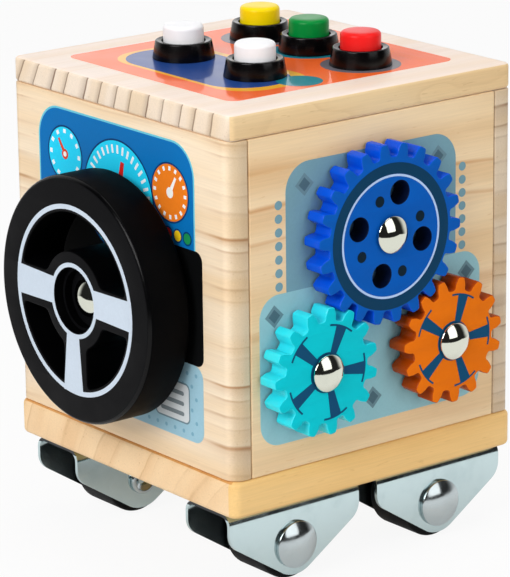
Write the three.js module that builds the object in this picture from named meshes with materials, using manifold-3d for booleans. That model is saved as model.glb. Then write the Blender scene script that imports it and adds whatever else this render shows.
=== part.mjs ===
// Wooden busy cube: steering wheel, three meshed gears, five push buttons and four roller casters.
// Lengths are in millimetres, +Z is up, the steering wheel faces -Y and the gears face +X.

import * as THREE from 'three';
import { mergeVertices } from 'three/addons/utils/BufferGeometryUtils.js';
import Module from 'manifold-3d';

const wasm = await Module();
wasm.setup();

// Driving sizes of the wooden box
const boxSide = 106;
const wallHeight = 100.3;
const wallThickness = 6.5;
const wallEdgeRadius = 4.5;
const wallFarEdgeRadius = 2.5;
const topThickness = 7.6;
const topCornerRadius = 2.4;
const topEdgeEase = 1.1;
const baseThickness = 11;
const baseLip = 0.75;
const baseCornerRadius = 3.2;
const baseEdgeEase = 1.5;

// Steering wheel, on the front wall
const wheelRadius = 37;
const wheelWidth = 14.8;
const wheelEdgeRound = 1.4;
const wheelWindowRadius = 26.3;
const wheelHubRadius = 14.7;
const wheelSpokeAbove = 6.5;
const wheelSpokeBelow = 5.5;
const wheelLowerSpokeHalf = 5.6;
const wheelWindowFillet = 1.8;
const wheelRecessRadius = 9.7;
const wheelRecessDepth = 3;
const wheelSocketRadius = 8.7;
const wheelSocketDepth = 5.5;
const wheelAxisBelowTop = 61.6;
const wheelAxisAside = 0.5;
const wheelSpacerLength = 2.4;
const wheelSpacerRadius = 7;
const wheelBoltRadius = 3;

// Gear train, on the right-hand wall
const gearModule = 2.38;
const bigTeeth = 22;
const bigTipRadius = 26.8;
const bigRootRadius = 22.9;
const bigToothWidth = 2.85;
const smallTeeth = 15;
const smallTipRadius = 19.15;
const smallRootRadius = 15.3;
const smallToothWidth = 3.4;
const gearWidth = 6.9;
const gearTipRound = 0.6;
const gearRootFillet = 0.85;
const gearPressureAngle = THREE.MathUtils.degToRad( 25 );
const gearSpreadAngle = THREE.MathUtils.degToRad( 33.2 );
const bigAxisBelowTop = 41.5;
const gearAxisAside = - 0.5;
const bigPhase = THREE.MathUtils.degToRad( 13.4 );
const bigHoleRadius = 3.5;
const bigHoleCircle = 12.4;
const bigHoleCount = 4;
const bigHolePhase = THREE.MathUtils.degToRad( 74 );
const gearWasherThickness = 0.6;
const gearWasherRadius = 6;
const gearBoltRadius = 2.5;

// Smooth domed bolts and the nuts on their inner ends
const domeRadius = 5.6;
const domeHeight = 2.9;
const domeRim = 0.5;
const boltTail = 2.2;
const boltNutWall = 1.3;
const boltNutThickness = 4.5;
const wheelNutWall = 1.8;
const wheelNutThickness = 5.5;

// Push buttons, in the top panel
const bezelOverhang = 1.4;
const bezelTaper = 0.85;
const bezelHeight = 5.5;
const bezelEdge = 0.5;
const bezelLipThickness = 2.5;
const bezelMouthRadius = 6.6;
const barrelRadius = 8;
const barrelWall = 0.7;
const barrelLength = 18;
const barrelFloor = 1.5;
const capRadius = 6.1;
const capAbovePanel = 10.3;
const capEdgeRound = 1.1;
const capFlangeOverlap = 0.4;
const capFlangeThickness = 1.2;
const capStemRadius = 3.4;
const capStemLength = 2.4;
const buttonTravel = 3;
const springRadius = 4.9;
const springWireRadius = 0.4;
const springTurns = 3;
const ringNutWall = 1.7;
const ringNutThickness = 3.5;
const buttonPlaces = [
	[ 'white_left', - 16.8, - 15.7, 0xf3f2f4 ],
	[ 'white_right', 17, - 15.2, 0xf3f2f4 ],
	[ 'yellow', - 23.5, 18.7, 0xf2d20c ],
	[ 'green', 0.7, 18.3, 0x0c8a4a ],
	[ 'red', 25.6, 17.7, 0xe21a1c ],
];

// Roller casters, under the base
const rollerRadius = 11.2;
const rollerEdge = 0.9;
const axleDrop = 14;
const housingWidth = 21;
const housingLength = 48.6;
const sheetThickness = 1.5;
const bendRadius = 2.1;
const cheekCornerRadius = 6;
const cheekCornerDrop = 6.2;
const cheekTipRadius = 9.5;
const housingScrewRadius = 2.1;
const housingScrewInset = 5.5;
const axleRadius = 3;
const rivetHeadRadius = 7.2;
const rivetHeadSide = 1.9;
const rivetHeadCrown = 1.2;
const rivetTailRadius = 4.7;
const rivetTailHeight = 1.7;
const rivetTailHoleRadius = 2;
const rivetTailHoleDepth = 3.4;
const casterGap = 7;
const casterRightInset = 14;
const casterLeftInset = 16.5;

// Clearances, cut overrun and facet counts
const runningGap = 0.2;
const looseGap = 0.3;
const rollerSideGap = 0.5;
const cutOverrun = 4;
const wheelRound = 60;
const windowRound = 48;
const hubRound = 24;
const rollerRound = 20;
const turnedRound = 18;
const smallRound = 12;
const cornerSteps = 3;
const edgeSteps = 2;

// Heights above the floor, worked up from the rollers
const baseUnderZ = rollerRadius + axleDrop;
const baseTopZ = baseUnderZ + baseThickness;
const wallTopZ = baseTopZ + wallHeight;
const topZ = wallTopZ + topThickness;
const halfBox = boxSide / 2;
const casterSpread = ( housingLength + casterGap ) / 2;
const wheelAxisZ = topZ - wheelAxisBelowTop;
const wheelBackY = - halfBox - wheelSpacerLength - runningGap;
const wheelFrontY = wheelBackY - wheelWidth;
const gearBackX = halfBox + gearWasherThickness + runningGap;
const gearFrontX = gearBackX + gearWidth;
const gearCentres = gearModule * ( bigTeeth + smallTeeth ) / 2;
const bigAxisZ = topZ - bigAxisBelowTop;
const smallAxisY = gearCentres * Math.sin( gearSpreadAngle );
const smallAxisZ = bigAxisZ - gearCentres * Math.cos( gearSpreadAngle );

// Returns the geometry as one closed surface with merged points and its faces outward.
function closed( geometry ) {

	const plain = geometry.index ? geometry.toNonIndexed() : geometry.clone();
	plain.deleteAttribute( 'normal' );
	plain.deleteAttribute( 'uv' );
	const merged = mergeVertices( plain );
	const place = merged.attributes.position;
	const a = new THREE.Vector3();
	const b = new THREE.Vector3();
	const c = new THREE.Vector3();
	const kept = [];
	let volume = 0;

	for ( let i = 0; i < merged.index.count; i += 3 ) {

		const corners = [ 0, 1, 2 ].map( ( k ) => merged.index.getX( i + k ) );

		if ( new Set( corners ).size === 3 ) {

			a.fromBufferAttribute( place, corners[ 0 ] );
			b.fromBufferAttribute( place, corners[ 1 ] );
			c.fromBufferAttribute( place, corners[ 2 ] );
			volume += a.dot( b.cross( c ) );
			kept.push( corners );

		}

	}

	merged.setIndex( kept.flatMap( ( [ p, q, r ] ) => ( volume < 0 ? [ p, r, q ] : [ p, q, r ] ) ) );
	return merged;

}

// Turns a closed geometry into a solid for cutting and joining.
function solid( geometry ) {

	const surface = closed( geometry );
	const vertProperties = new Float32Array( surface.attributes.position.array );
	const triVerts = new Uint32Array( surface.index.array );
	return new wasm.Manifold( new wasm.Mesh( { numProp: 3, vertProperties, triVerts } ) );

}

// Turns a solid back into a geometry.
function fromSolid( body ) {

	const { vertProperties, triVerts } = body.getMesh();
	const geometry = new THREE.BufferGeometry();
	geometry.setAttribute( 'position', new THREE.BufferAttribute( Float32Array.from( vertProperties ), 3 ) );
	geometry.setIndex( new THREE.BufferAttribute( Uint32Array.from( triVerts ), 1 ) );
	return geometry;

}

function cut( geometry, ...tools ) {

	return fromSolid( tools.reduce( ( body, tool ) => body.subtract( solid( tool ) ), solid( geometry ) ) );

}

function common( geometry, other ) {

	return fromSolid( solid( geometry ).intersect( solid( other ) ) );

}

// Shapes are drawn flat or turned about +Z, then laid along +X or -Y.
function alongX( geometry ) {

	return geometry.rotateX( Math.PI / 2 ).rotateZ( Math.PI / 2 );

}

function alongMinusY( geometry ) {

	return geometry.rotateX( Math.PI / 2 );

}

// Revolves a closed profile of [radius, height] points about +Z.
function turned( profile, segments = turnedRound ) {

	const points = profile.map( ( [ radius, height ] ) => new THREE.Vector2( radius, height ) );
	return new THREE.LatheGeometry( points, segments ).rotateX( Math.PI / 2 );

}

// Points of an arc about a centre, as [x, y] pairs.
function arcPoints( centreX, centreY, radius, from, to, steps ) {

	return Array.from( { length: steps + 1 }, ( _, k ) => {

		const angle = from + ( to - from ) * k / steps;
		return [ centreX + radius * Math.cos( angle ), centreY + radius * Math.sin( angle ) ];

	} );

}

function shapeOf( points ) {

	return new THREE.Shape( points.map( ( [ x, y ] ) => new THREE.Vector2( x, y ) ) );

}

function extruded( outline, depth ) {

	return new THREE.ExtrudeGeometry( outline, { depth, bevelEnabled: false } );

}

function circlePath( x, y, radius, steps ) {

	return new THREE.Path( arcPoints( x, y, radius, 0, 2 * Math.PI * ( 1 - 1 / steps ), steps - 1 )
		.map( ( [ pointX, pointY ] ) => new THREE.Vector2( pointX, pointY ) ) );

}

function roundRod( radius, length, segments = turnedRound ) {

	return turned( [ [ 0, 0 ], [ radius, 0 ], [ radius, length ], [ 0, length ] ], segments );

}

function roundedSquare( side, radius ) {

	const middle = side / 2 - radius;
	const quarters = [ [ 1, 1 ], [ - 1, 1 ], [ - 1, - 1 ], [ 1, - 1 ] ];
	return shapeOf( quarters.flatMap( ( [ x, y ], k ) => {

		const start = k * Math.PI / 2;
		return arcPoints( x * middle, y * middle, radius, start, start + Math.PI / 2, cornerSteps );

	} ) );

}

// A slab with eased edges; its underside is at height 0.
function easedSlab( outline, thickness, ease ) {

	const slab = new THREE.ExtrudeGeometry( outline, {
		depth: thickness - 2 * ease,
		bevelSize: ease,
		bevelThickness: ease,
		bevelOffset: - ease,
		bevelSegments: edgeSteps,
	} );
	return slab.translate( 0, 0, ease );

}

function hexNut( wall, thickness, boreRadius ) {

	const sides = 6;
	const halfSide = Math.PI / sides;
	const reach = ( boreRadius + wall ) / Math.cos( halfSide );
	const outline = shapeOf( arcPoints( 0, 0, reach, halfSide, 2 * Math.PI - halfSide, sides - 1 ) );
	outline.holes.push( circlePath( 0, 0, boreRadius, smallRound ) );
	return extruded( outline, thickness );

}

function washer( radius, boreRadius, thickness ) {

	const section = [ [ boreRadius, 0 ], [ radius, 0 ], [ radius, thickness ], [ boreRadius, thickness ] ];
	return turned( [ ...section, section[ 0 ] ], smallRound );

}

// Profile of a shallow dome that rises from a round rim to its top.
function domePoints( rimRadius, rimHeight, topHeight ) {

	const rise = topHeight - rimHeight;
	const ball = ( rimRadius ** 2 + rise ** 2 ) / ( 2 * rise );
	const spread = Math.asin( rimRadius / ball );
	const points = arcPoints( 0, topHeight - ball, ball, Math.PI / 2 - spread, Math.PI / 2, cornerSteps );
	return [ ...points.slice( 0, cornerSteps ), [ 0, topHeight ] ];

}

// A smooth domed bolt: the head sits on height 0 and the shank runs down from it.
function domedBolt( shankRadius, shankLength ) {

	return turned( [
		[ 0, - shankLength ],
		[ shankRadius, - shankLength ],
		[ shankRadius, 0 ],
		[ domeRadius, 0 ],
		...domePoints( domeRadius, domeRim, domeHeight ),
	] );

}

// Wooden box: six panels
function topPanel() {

	const slab = easedSlab( roundedSquare( boxSide, topCornerRadius ), topThickness, topEdgeEase );
	const holes = buttonPlaces.map( ( [ , x, y ] ) => {

		const drill = roundRod( barrelRadius + looseGap, topThickness + 2 * cutOverrun );
		return drill.translate( x, y, - cutOverrun );

	} );
	return cut( slab, ...holes ).translate( 0, 0, wallTopZ );

}

function basePanel() {

	const outline = roundedSquare( boxSide + 2 * baseLip, baseCornerRadius );
	return easedSlab( outline, baseThickness, baseEdgeEase ).translate( 0, 0, baseUnderZ );

}

// The front and back walls run the full width and have rounded outer upright edges.
function fullWall( hole ) {

	const near = halfBox - wallEdgeRadius;
	const far = halfBox - wallFarEdgeRadius;
	const inner = wallThickness - halfBox;
	const outline = shapeOf( [
		[ - halfBox, inner ],
		...arcPoints( - far, - far, wallFarEdgeRadius, Math.PI, 3 * Math.PI / 2, 2 * cornerSteps ),
		...arcPoints( near, - near, wallEdgeRadius, - Math.PI / 2, 0, 2 * cornerSteps ),
		[ halfBox, inner ],
	] );
	const wall = extruded( outline, wallHeight ).translate( 0, 0, baseTopZ );
	return hole ? cut( wall, hole ) : wall;

}

// The side walls fit between the front and back walls.
function sideWall( holes ) {

	const wall = new THREE.BoxGeometry( wallThickness, boxSide - 2 * wallThickness, wallHeight );
	wall.translate( halfBox - wallThickness / 2, 0, baseTopZ + wallHeight / 2 );
	return holes.length ? cut( wall, ...holes ) : wall;

}

function wallDrill( radius ) {

	return roundRod( radius, wallThickness + 2 * cutOverrun, smallRound );

}

// Corner of a window, rounded between its arc and the straight side of a spoke
function filletPoints( before, corner, after ) {

	const bend = new THREE.QuadraticBezierCurve( before, corner, after );
	return bend.getPoints( edgeSteps ).map( ( { x, y } ) => [ x, y ] );

}

// Steering wheel: three windows between a thick rim, a hub and three spokes.
// A window runs from one spoke's middle line to the next, less the half width of each spoke.
function wheelWindow( from, fromHalf, to, toHalf ) {

	const corner = ( radius, side ) => {

		const half = side < 0 ? fromHalf : toHalf;
		const angle = ( side < 0 ? from : to ) - side * Math.asin( half / radius );
		return { angle, at: new THREE.Vector2( radius * Math.cos( angle ), radius * Math.sin( angle ) ) };

	};
	const arc = ( radius, side ) => {

		const turn = wheelWindowFillet / radius;
		const steps = Math.round( ( to - from ) / ( 2 * Math.PI ) * windowRound * radius / wheelWindowRadius );
		const start = corner( radius, - 1 ).angle + turn;
		const end = corner( radius, 1 ).angle - turn;
		const points = arcPoints( 0, 0, radius, start, end, steps );
		return side < 0 ? points.reverse() : points;

	};
	const outer = arc( wheelWindowRadius, 1 );
	const inner = arc( wheelHubRadius, - 1 );
	const bend = ( radius, side, arcEnd, other ) => {

		const tip = corner( radius, side ).at;
		const far = corner( other, side ).at;
		const onSpoke = new THREE.Vector2().lerpVectors( tip, far, wheelWindowFillet / tip.distanceTo( far ) );
		return filletPoints( new THREE.Vector2( ...arcEnd ), tip, onSpoke );

	};
	return shapeOf( [
		...outer.slice( 0, - 1 ),
		...bend( wheelWindowRadius, 1, outer[ outer.length - 1 ], wheelHubRadius ),
		...bend( wheelHubRadius, 1, inner[ 0 ], wheelWindowRadius ).reverse(),
		...inner.slice( 1, - 1 ),
		...bend( wheelHubRadius, - 1, inner[ inner.length - 1 ], wheelWindowRadius ),
		...bend( wheelWindowRadius, - 1, outer[ 0 ], wheelHubRadius ).reverse().slice( 0, - 1 ),
	] );

}

function steeringWheel() {

	const edge = wheelRadius - wheelEdgeRound;
	const disc = turned( [
		[ 0, 0 ],
		...arcPoints( edge, wheelEdgeRound, wheelEdgeRound, - Math.PI / 2, 0, edgeSteps ),
		...arcPoints( edge, wheelWidth - wheelEdgeRound, wheelEdgeRound, 0, Math.PI / 2, edgeSteps ),
		[ 0, wheelWidth ],
	], wheelRound );
	const windows = [
		wheelWindow( 0, wheelSpokeAbove, Math.PI, wheelSpokeAbove ),
		wheelWindow( Math.PI, wheelSpokeBelow, 3 * Math.PI / 2, wheelLowerSpokeHalf ),
		wheelWindow( 3 * Math.PI / 2, wheelLowerSpokeHalf, 2 * Math.PI, wheelSpokeBelow ),
	];
	const through = wheelWidth + 2 * cutOverrun;
	const mouth = roundRod( wheelRecessRadius, wheelRecessDepth + cutOverrun, hubRound );
	const socket = roundRod( wheelSocketRadius, wheelSocketDepth + cutOverrun, hubRound );
	const bore = roundRod( wheelBoltRadius + runningGap, through, smallRound );
	return cut(
		disc,
		...windows.map( ( outline ) => extruded( outline, through ).translate( 0, 0, - cutOverrun ) ),
		mouth.translate( 0, 0, wheelWidth - wheelRecessDepth ),
		socket.translate( 0, 0, wheelWidth - wheelSocketDepth ),
		bore.translate( 0, 0, - cutOverrun ),
	);

}

// Gear outline: involute flanks on the working pitch circle, rounded tips and filleted roots
function gearOutline( { teeth, tipRadius, rootRadius, toothWidth, phase } ) {

	const pitchRadius = gearModule * teeth / 2;
	const baseRadius = pitchRadius * Math.cos( gearPressureAngle );
	const involute = ( angle ) => Math.tan( angle ) - angle;
	const halfAt = ( radius ) => {

		const roll = Math.acos( Math.min( 1, baseRadius / radius ) );
		return toothWidth / 2 / pitchRadius + involute( gearPressureAngle ) - involute( roll );

	};
	const flankEnd = tipRadius - gearTipRound;
	const tipHalf = halfAt( tipRadius ) - gearTipRound / tipRadius;
	const flank = [ baseRadius, ( baseRadius + flankEnd ) / 2, flankEnd ];
	const side = [
		[ rootRadius, halfAt( baseRadius ) + gearRootFillet / rootRadius ],
		...flank.map( ( radius ) => [ radius, halfAt( radius ) ] ),
		[ tipRadius - gearTipRound / 4, ( halfAt( tipRadius ) + tipHalf ) / 2 ],
		[ tipRadius, tipHalf ],
	];
	const polar = ( radius, angle ) => [ radius * Math.cos( angle ), radius * Math.sin( angle ) ];
	return shapeOf( Array.from( { length: teeth }, ( _, tooth ) => {

		const centre = phase + tooth * 2 * Math.PI / teeth;
		const rising = side.map( ( [ radius, half ] ) => polar( radius, centre - half ) );
		const falling = side.map( ( [ radius, half ] ) => polar( radius, centre + half ) );
		return [ ...rising, ...falling.reverse() ];

	} ).flat() );

}

function gear( form, holeCount ) {

	const outline = gearOutline( form );
	outline.holes.push( circlePath( 0, 0, gearBoltRadius + runningGap, smallRound ) );

	for ( let k = 0; k < holeCount; k ++ ) {

		const angle = bigHolePhase + k * 2 * Math.PI / holeCount;
		const x = bigHoleCircle * Math.cos( angle );
		const y = bigHoleCircle * Math.sin( angle );
		outline.holes.push( circlePath( x, y, bigHoleRadius, smallRound ) );

	}

	return extruded( outline, gearWidth );

}

// Meshed phase of a small gear, from the tooth of the big gear nearest the line of centres
function meshedPhase( lineAngle ) {

	const bigPitch = 2 * Math.PI / bigTeeth;
	const smallPitch = 2 * Math.PI / smallTeeth;
	const past = ( bigPhase - lineAngle ) / bigPitch;
	return lineAngle + Math.PI + ( 1 / 2 - past ) * smallPitch;

}

// Push button: bezel with its barrel, sprung cap, spring and ring nut; height 0 is the panel's face
function buttonBody() {

	const bore = barrelRadius - barrelWall;
	const bezelBase = barrelRadius + bezelOverhang;
	const bezelTop = bezelBase - bezelTaper;
	const lipUnder = bezelHeight - bezelLipThickness;
	return turned( [
		[ 0, - barrelLength ],
		[ barrelRadius, - barrelLength ],
		[ barrelRadius, 0 ],
		[ bezelBase, 0 ],
		[ bezelTop, bezelHeight - bezelEdge ],
		[ bezelTop - bezelEdge, bezelHeight ],
		[ bezelMouthRadius + bezelEdge, bezelHeight ],
		[ bezelMouthRadius, bezelHeight - bezelEdge ],
		[ bezelMouthRadius, lipUnder ],
		[ bore, lipUnder ],
		[ bore, barrelFloor - barrelLength ],
		[ 0, barrelFloor - barrelLength ],
	] );

}

function buttonCap() {

	const flangeTop = bezelHeight - bezelLipThickness - looseGap;
	const flangeRadius = bezelMouthRadius + capFlangeOverlap;
	const stemFoot = flangeTop - capFlangeThickness - capStemLength;
	const edge = capAbovePanel - capEdgeRound;
	return turned( [
		[ 0, stemFoot ],
		[ capStemRadius, stemFoot ],
		[ capStemRadius, flangeTop - capFlangeThickness ],
		[ flangeRadius, flangeTop - capFlangeThickness ],
		[ flangeRadius, flangeTop ],
		[ capRadius, flangeTop ],
		...arcPoints( capRadius - capEdgeRound, edge, capEdgeRound, 0, Math.PI / 2, edgeSteps ),
		[ 0, capAbovePanel ],
	] );

}

// Spring of a button, wound round the cap's stem; its coils' least gap is measured and printed.
let springGap = 0;

function buttonSpring() {

	const foot = barrelFloor - barrelLength + springWireRadius + looseGap;
	const head = bezelHeight - bezelLipThickness - capFlangeThickness - springWireRadius - 2 * looseGap;
	const stepsPerTurn = 8;
	const wireSides = 5;
	const steps = springTurns * stepsPerTurn;
	const route = Array.from( { length: steps + 1 }, ( _, k ) => {

		const angle = k * 2 * Math.PI / stepsPerTurn;
		const height = foot + ( head - foot ) * k / steps;
		return new THREE.Vector3( springRadius * Math.cos( angle ), springRadius * Math.sin( angle ), height );

	} );
	const apart = stepsPerTurn / 2;
	const gaps = route.flatMap( ( a, i ) => route.slice( i + apart ).map( ( b ) => a.distanceTo( b ) ) );
	springGap = Math.min( ...gaps ) - 2 * springWireRadius;
	const section = arcPoints( 0, 0, springWireRadius, 0, 2 * Math.PI * ( 1 - 1 / wireSides ), wireSides - 1 );
	return new THREE.ExtrudeGeometry( shapeOf( section ), {
		steps,
		bevelEnabled: false,
		extrudePath: new THREE.CatmullRomCurve3( route ),
	} );

}

// Roller caster: folded sheet housing, roller, and a rivet axle with a domed head and a rolled tail
function casterHousing() {

	const half = housingWidth / 2;
	const depth = axleDrop + cheekTipRadius;
	const inner = half - sheetThickness;
	const bend = half - bendRadius;
	const innerBend = bendRadius - sheetThickness;
	const channel = shapeOf( [
		[ - half, - depth ],
		...arcPoints( - bend, - bendRadius, bendRadius, Math.PI, Math.PI / 2, edgeSteps ),
		...arcPoints( bend, - bendRadius, bendRadius, Math.PI / 2, 0, edgeSteps ),
		[ half, - depth ],
		[ inner, - depth ],
		...arcPoints( bend, - bendRadius, innerBend, 0, Math.PI / 2, edgeSteps ),
		...arcPoints( - bend, - bendRadius, innerBend, Math.PI / 2, Math.PI, edgeSteps ),
		[ - inner, - depth ],
	] );
	const folded = extruded( channel, housingLength ).rotateX( Math.PI / 2 );
	folded.translate( 0, housingLength / 2, 0 );
	const across = ( geometry ) => alongX( geometry.translate( 0, 0, - half - cutOverrun ) );
	const blank = across( extruded( cheekOutline(), housingWidth + 2 * cutOverrun ) );
	const axleHole = across( roundRod( axleRadius + looseGap, housingWidth + 2 * cutOverrun, smallRound ) );
	const screwHoles = [ - 1, 1 ].map( ( end ) => {

		const drill = roundRod( housingScrewRadius, sheetThickness + 2 * cutOverrun, smallRound );
		const y = end * ( housingLength / 2 - housingScrewInset );
		return drill.translate( 0, y, - sheetThickness - cutOverrun );

	} );
	return cut( common( folded, blank ), axleHole.translate( 0, 0, - axleDrop ), ...screwHoles );

}

// Side view of a cheek: square top corners, rounded lower corners and a round tip about the axle
function cheekOutline() {

	const half = housingLength / 2;
	const reach = half - cheekCornerRadius;
	const rise = axleDrop - cheekCornerDrop;
	const narrowing = Math.acos( ( cheekTipRadius - cheekCornerRadius ) / Math.hypot( reach, rise ) );
	const lean = narrowing - Math.atan2( rise, reach );
	const corner = ( side, from, to ) => {

		return arcPoints( side * reach, - cheekCornerDrop, cheekCornerRadius, from, to, cornerSteps );

	};
	return shapeOf( [
		[ - half, cutOverrun ],
		...corner( - 1, Math.PI, Math.PI + lean ),
		...arcPoints( 0, - axleDrop, cheekTipRadius, Math.PI + lean, 2 * Math.PI - lean, 2 * cornerSteps ),
		...corner( 1, 2 * Math.PI - lean, 2 * Math.PI ),
		[ half, cutOverrun ],
	] );

}

function roller() {

	const length = housingWidth - 2 * sheetThickness - 2 * rollerSideGap;
	const bore = axleRadius + runningGap;
	return turned( [
		[ bore, 0 ],
		[ rollerRadius - rollerEdge, 0 ],
		[ rollerRadius, rollerEdge ],
		[ rollerRadius, length - rollerEdge ],
		[ rollerRadius - rollerEdge, length ],
		[ bore, length ],
		[ bore, 0 ],
	], rollerRound ).translate( 0, 0, - length / 2 );

}

function rivetAxle() {

	const grip = housingWidth / 2;
	const rim = grip + rivetHeadSide;
	const tailEnd = - grip - rivetTailHeight;
	const rollRound = rivetTailHeight / 2;
	const rollRadius = rivetTailRadius - rollRound;
	return turned( [
		[ 0, tailEnd + rivetTailHoleDepth ],
		[ rivetTailHoleRadius, tailEnd + rivetTailHoleDepth ],
		[ rivetTailHoleRadius, tailEnd + rollRound ],
		...arcPoints( rollRadius, tailEnd + rollRound, rollRound, - Math.PI / 2, Math.PI / 2, edgeSteps ),
		[ axleRadius, - grip ],
		[ axleRadius, grip ],
		[ rivetHeadRadius, grip ],
		...domePoints( rivetHeadRadius, rim, rim + rivetHeadCrown ),
	] );

}

// Finishes
const pine = { color: 0xe6c9a0, roughness: 0.6, metalness: 0 };
const honeyPine = { color: 0xdba95e, roughness: 0.6, metalness: 0 };
const blackPlastic = { color: 0x17191b, roughness: 0.4, metalness: 0 };
const whitePlastic = { color: 0xd9d9d4, roughness: 0.5, metalness: 0 };
const nickel = { color: 0xc9c6bd, roughness: 0.2, metalness: 1 };
const zinc = { color: 0xb9c7cb, roughness: 0.35, metalness: 0.9 };
const steel = { color: 0x9a9c9c, roughness: 0.35, metalness: 1 };
const toyPlastic = ( color ) => ( { color, roughness: 0.3, metalness: 0 } );
const toy = new THREE.Group();

// Adds one named mesh with its own material at a place in a group.
function add( group, name, geometry, finish, x = 0, y = 0, z = 0 ) {

	const surface = closed( geometry ).toNonIndexed();
	surface.computeVertexNormals();
	const mesh = new THREE.Mesh( surface, new THREE.MeshStandardMaterial( finish ) );
	mesh.name = name;
	mesh.position.set( x, y, z );
	group.add( mesh );

}

// Gears: the big one drives two small ones
const bigForm = {
	teeth: bigTeeth,
	tipRadius: bigTipRadius,
	rootRadius: bigRootRadius,
	toothWidth: bigToothWidth,
	phase: bigPhase,
};
const smallForm = ( side ) => ( {
	teeth: smallTeeth,
	tipRadius: smallTipRadius,
	rootRadius: smallRootRadius,
	toothWidth: smallToothWidth,
	phase: meshedPhase( 3 * Math.PI / 2 + side * gearSpreadAngle ),
} );
const gearPlaces = [
	[ 'big_gear', gearAxisAside, bigAxisZ, bigForm, bigHoleCount, 0x0b52b8 ],
	[ 'teal_gear', gearAxisAside - smallAxisY, smallAxisZ, smallForm( - 1 ), 0, 0x05c3cc ],
	[ 'orange_gear', gearAxisAside + smallAxisY, smallAxisZ, smallForm( 1 ), 0, 0xe07312 ],
];
const gearBoltLength = gearWidth + 2 * runningGap + gearWasherThickness
	+ wallThickness + boltNutThickness + boltTail;
const gearNutX = halfBox - wallThickness - boltNutThickness;

for ( const [ name, y, z, form, holes, color ] of gearPlaces ) {

	const bore = gearBoltRadius + looseGap;
	const bolt = domedBolt( gearBoltRadius, gearBoltLength );
	const thinWasher = washer( gearWasherRadius, bore, gearWasherThickness );
	const lockNut = hexNut( boltNutWall, boltNutThickness, bore );
	add( toy, name, alongX( gear( form, holes ) ), toyPlastic( color ), gearBackX, y, z );
	add( toy, `${ name }_bolt`, alongX( bolt ), nickel, gearFrontX + runningGap, y, z );
	add( toy, `${ name }_washer`, alongX( thinWasher ), steel, halfBox, y, z );
	add( toy, `${ name }_lock_nut`, alongX( lockNut ), steel, gearNutX, y, z );

}

// Steering wheel on its bolt
const wheelSeatY = wheelFrontY + wheelSocketDepth - runningGap;
const wheelBoltLength = wheelWidth - wheelSocketDepth + 2 * runningGap + wheelSpacerLength
	+ wallThickness + wheelNutThickness + boltTail;
const wheelBore = wheelBoltRadius + looseGap;
const wheelBolt = domedBolt( wheelBoltRadius, wheelBoltLength );
const wheelSpacer = washer( wheelSpacerRadius, wheelBore, wheelSpacerLength );
const wheelNut = hexNut( wheelNutWall, wheelNutThickness, wheelBore );
const wheelNutY = wallThickness + wheelNutThickness - halfBox;
add( toy, 'steering_wheel', alongMinusY( steeringWheel() ), blackPlastic, wheelAxisAside, wheelBackY, wheelAxisZ );
add( toy, 'steering_bolt', alongMinusY( wheelBolt ), nickel, wheelAxisAside, wheelSeatY, wheelAxisZ );
add( toy, 'steering_spacer', alongMinusY( wheelSpacer ), whitePlastic, wheelAxisAside, - halfBox, wheelAxisZ );
add( toy, 'steering_lock_nut', alongMinusY( wheelNut ), steel, wheelAxisAside, wheelNutY, wheelAxisZ );

// Box panels, with the bolt holes that the wheel and the gears need
const wheelDrill = alongMinusY( wallDrill( wheelBoltRadius + runningGap ) );
const gearDrills = gearPlaces.map( ( [ , y, z ] ) => {

	const drill = alongX( wallDrill( gearBoltRadius + runningGap ) );
	return drill.translate( halfBox - wallThickness - cutOverrun, y, z );

} );
wheelDrill.translate( wheelAxisAside, wallThickness + cutOverrun - halfBox, wheelAxisZ );
add( toy, 'top_panel', topPanel(), pine );
add( toy, 'front_panel', fullWall( wheelDrill ), pine );
add( toy, 'back_panel', fullWall().rotateZ( Math.PI ), pine );
add( toy, 'gear_side_panel', sideWall( gearDrills ), pine );
add( toy, 'left_side_panel', sideWall( [] ).rotateZ( Math.PI ), pine );
add( toy, 'base_panel', basePanel(), honeyPine );

// Push buttons
for ( const [ name, x, y, color ] of buttonPlaces ) {

	const ringNut = hexNut( ringNutWall, ringNutThickness, barrelRadius + looseGap );
	add( toy, `button_bezel_${ name }`, buttonBody(), blackPlastic, x, y, topZ );
	add( toy, `button_cap_${ name }`, buttonCap(), toyPlastic( color ), x, y, topZ );
	add( toy, `button_spring_${ name }`, buttonSpring(), steel, x, y, topZ );
	add( toy, `button_nut_${ name }`, ringNut, blackPlastic, x, y, wallTopZ - ringNutThickness );

}

console.log( 'least gap between the coils of a spring, mm:', springGap.toFixed( 2 ) );

// Casters, with the rivet heads facing outward
const casterRight = halfBox - casterRightInset;
const casterLeft = casterLeftInset - halfBox;
const casterSides = [ [ 'right', casterRight, 0 ], [ 'left', casterLeft, Math.PI ] ];
const casterRows = [ [ 'front', - casterSpread ], [ 'rear', casterSpread ] ];

for ( const [ side, x, turn ] of casterSides ) {

	for ( const [ row, y ] of casterRows ) {

		const caster = new THREE.Group();
		caster.position.set( x, y, 0 );
		caster.rotation.z = turn;
		add( caster, `caster_housing_${ row }_${ side }`, casterHousing(), zinc, 0, 0, baseUnderZ );
		add( caster, `caster_roller_${ row }_${ side }`, alongX( roller() ), blackPlastic, 0, 0, rollerRadius );
		add( caster, `caster_axle_rivet_${ row }_${ side }`, alongX( rivetAxle() ), zinc, 0, 0, rollerRadius );
		toy.add( caster );

	}

}

// The origin is the middle of the whole object's footprint, on the floor.
const reachRight = gearFrontX + runningGap + domeHeight;
const reachOther = halfBox + baseLip;
toy.position.set( ( reachOther - reachRight ) / 2, ( - wheelFrontY - reachOther ) / 2, 0 );

export default toy;
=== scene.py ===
# %% [markdown]
# # A wooden busy cube
# The toy is a small pine box on four roller casters. One face carries a steering wheel, the next a
# train of three gears, and the top five push buttons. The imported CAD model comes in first, as a frame
# that fixes where everything is. Each visible piece is then made again with finer curves and a
# material of its own, in the same place.

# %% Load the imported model
import math

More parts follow.
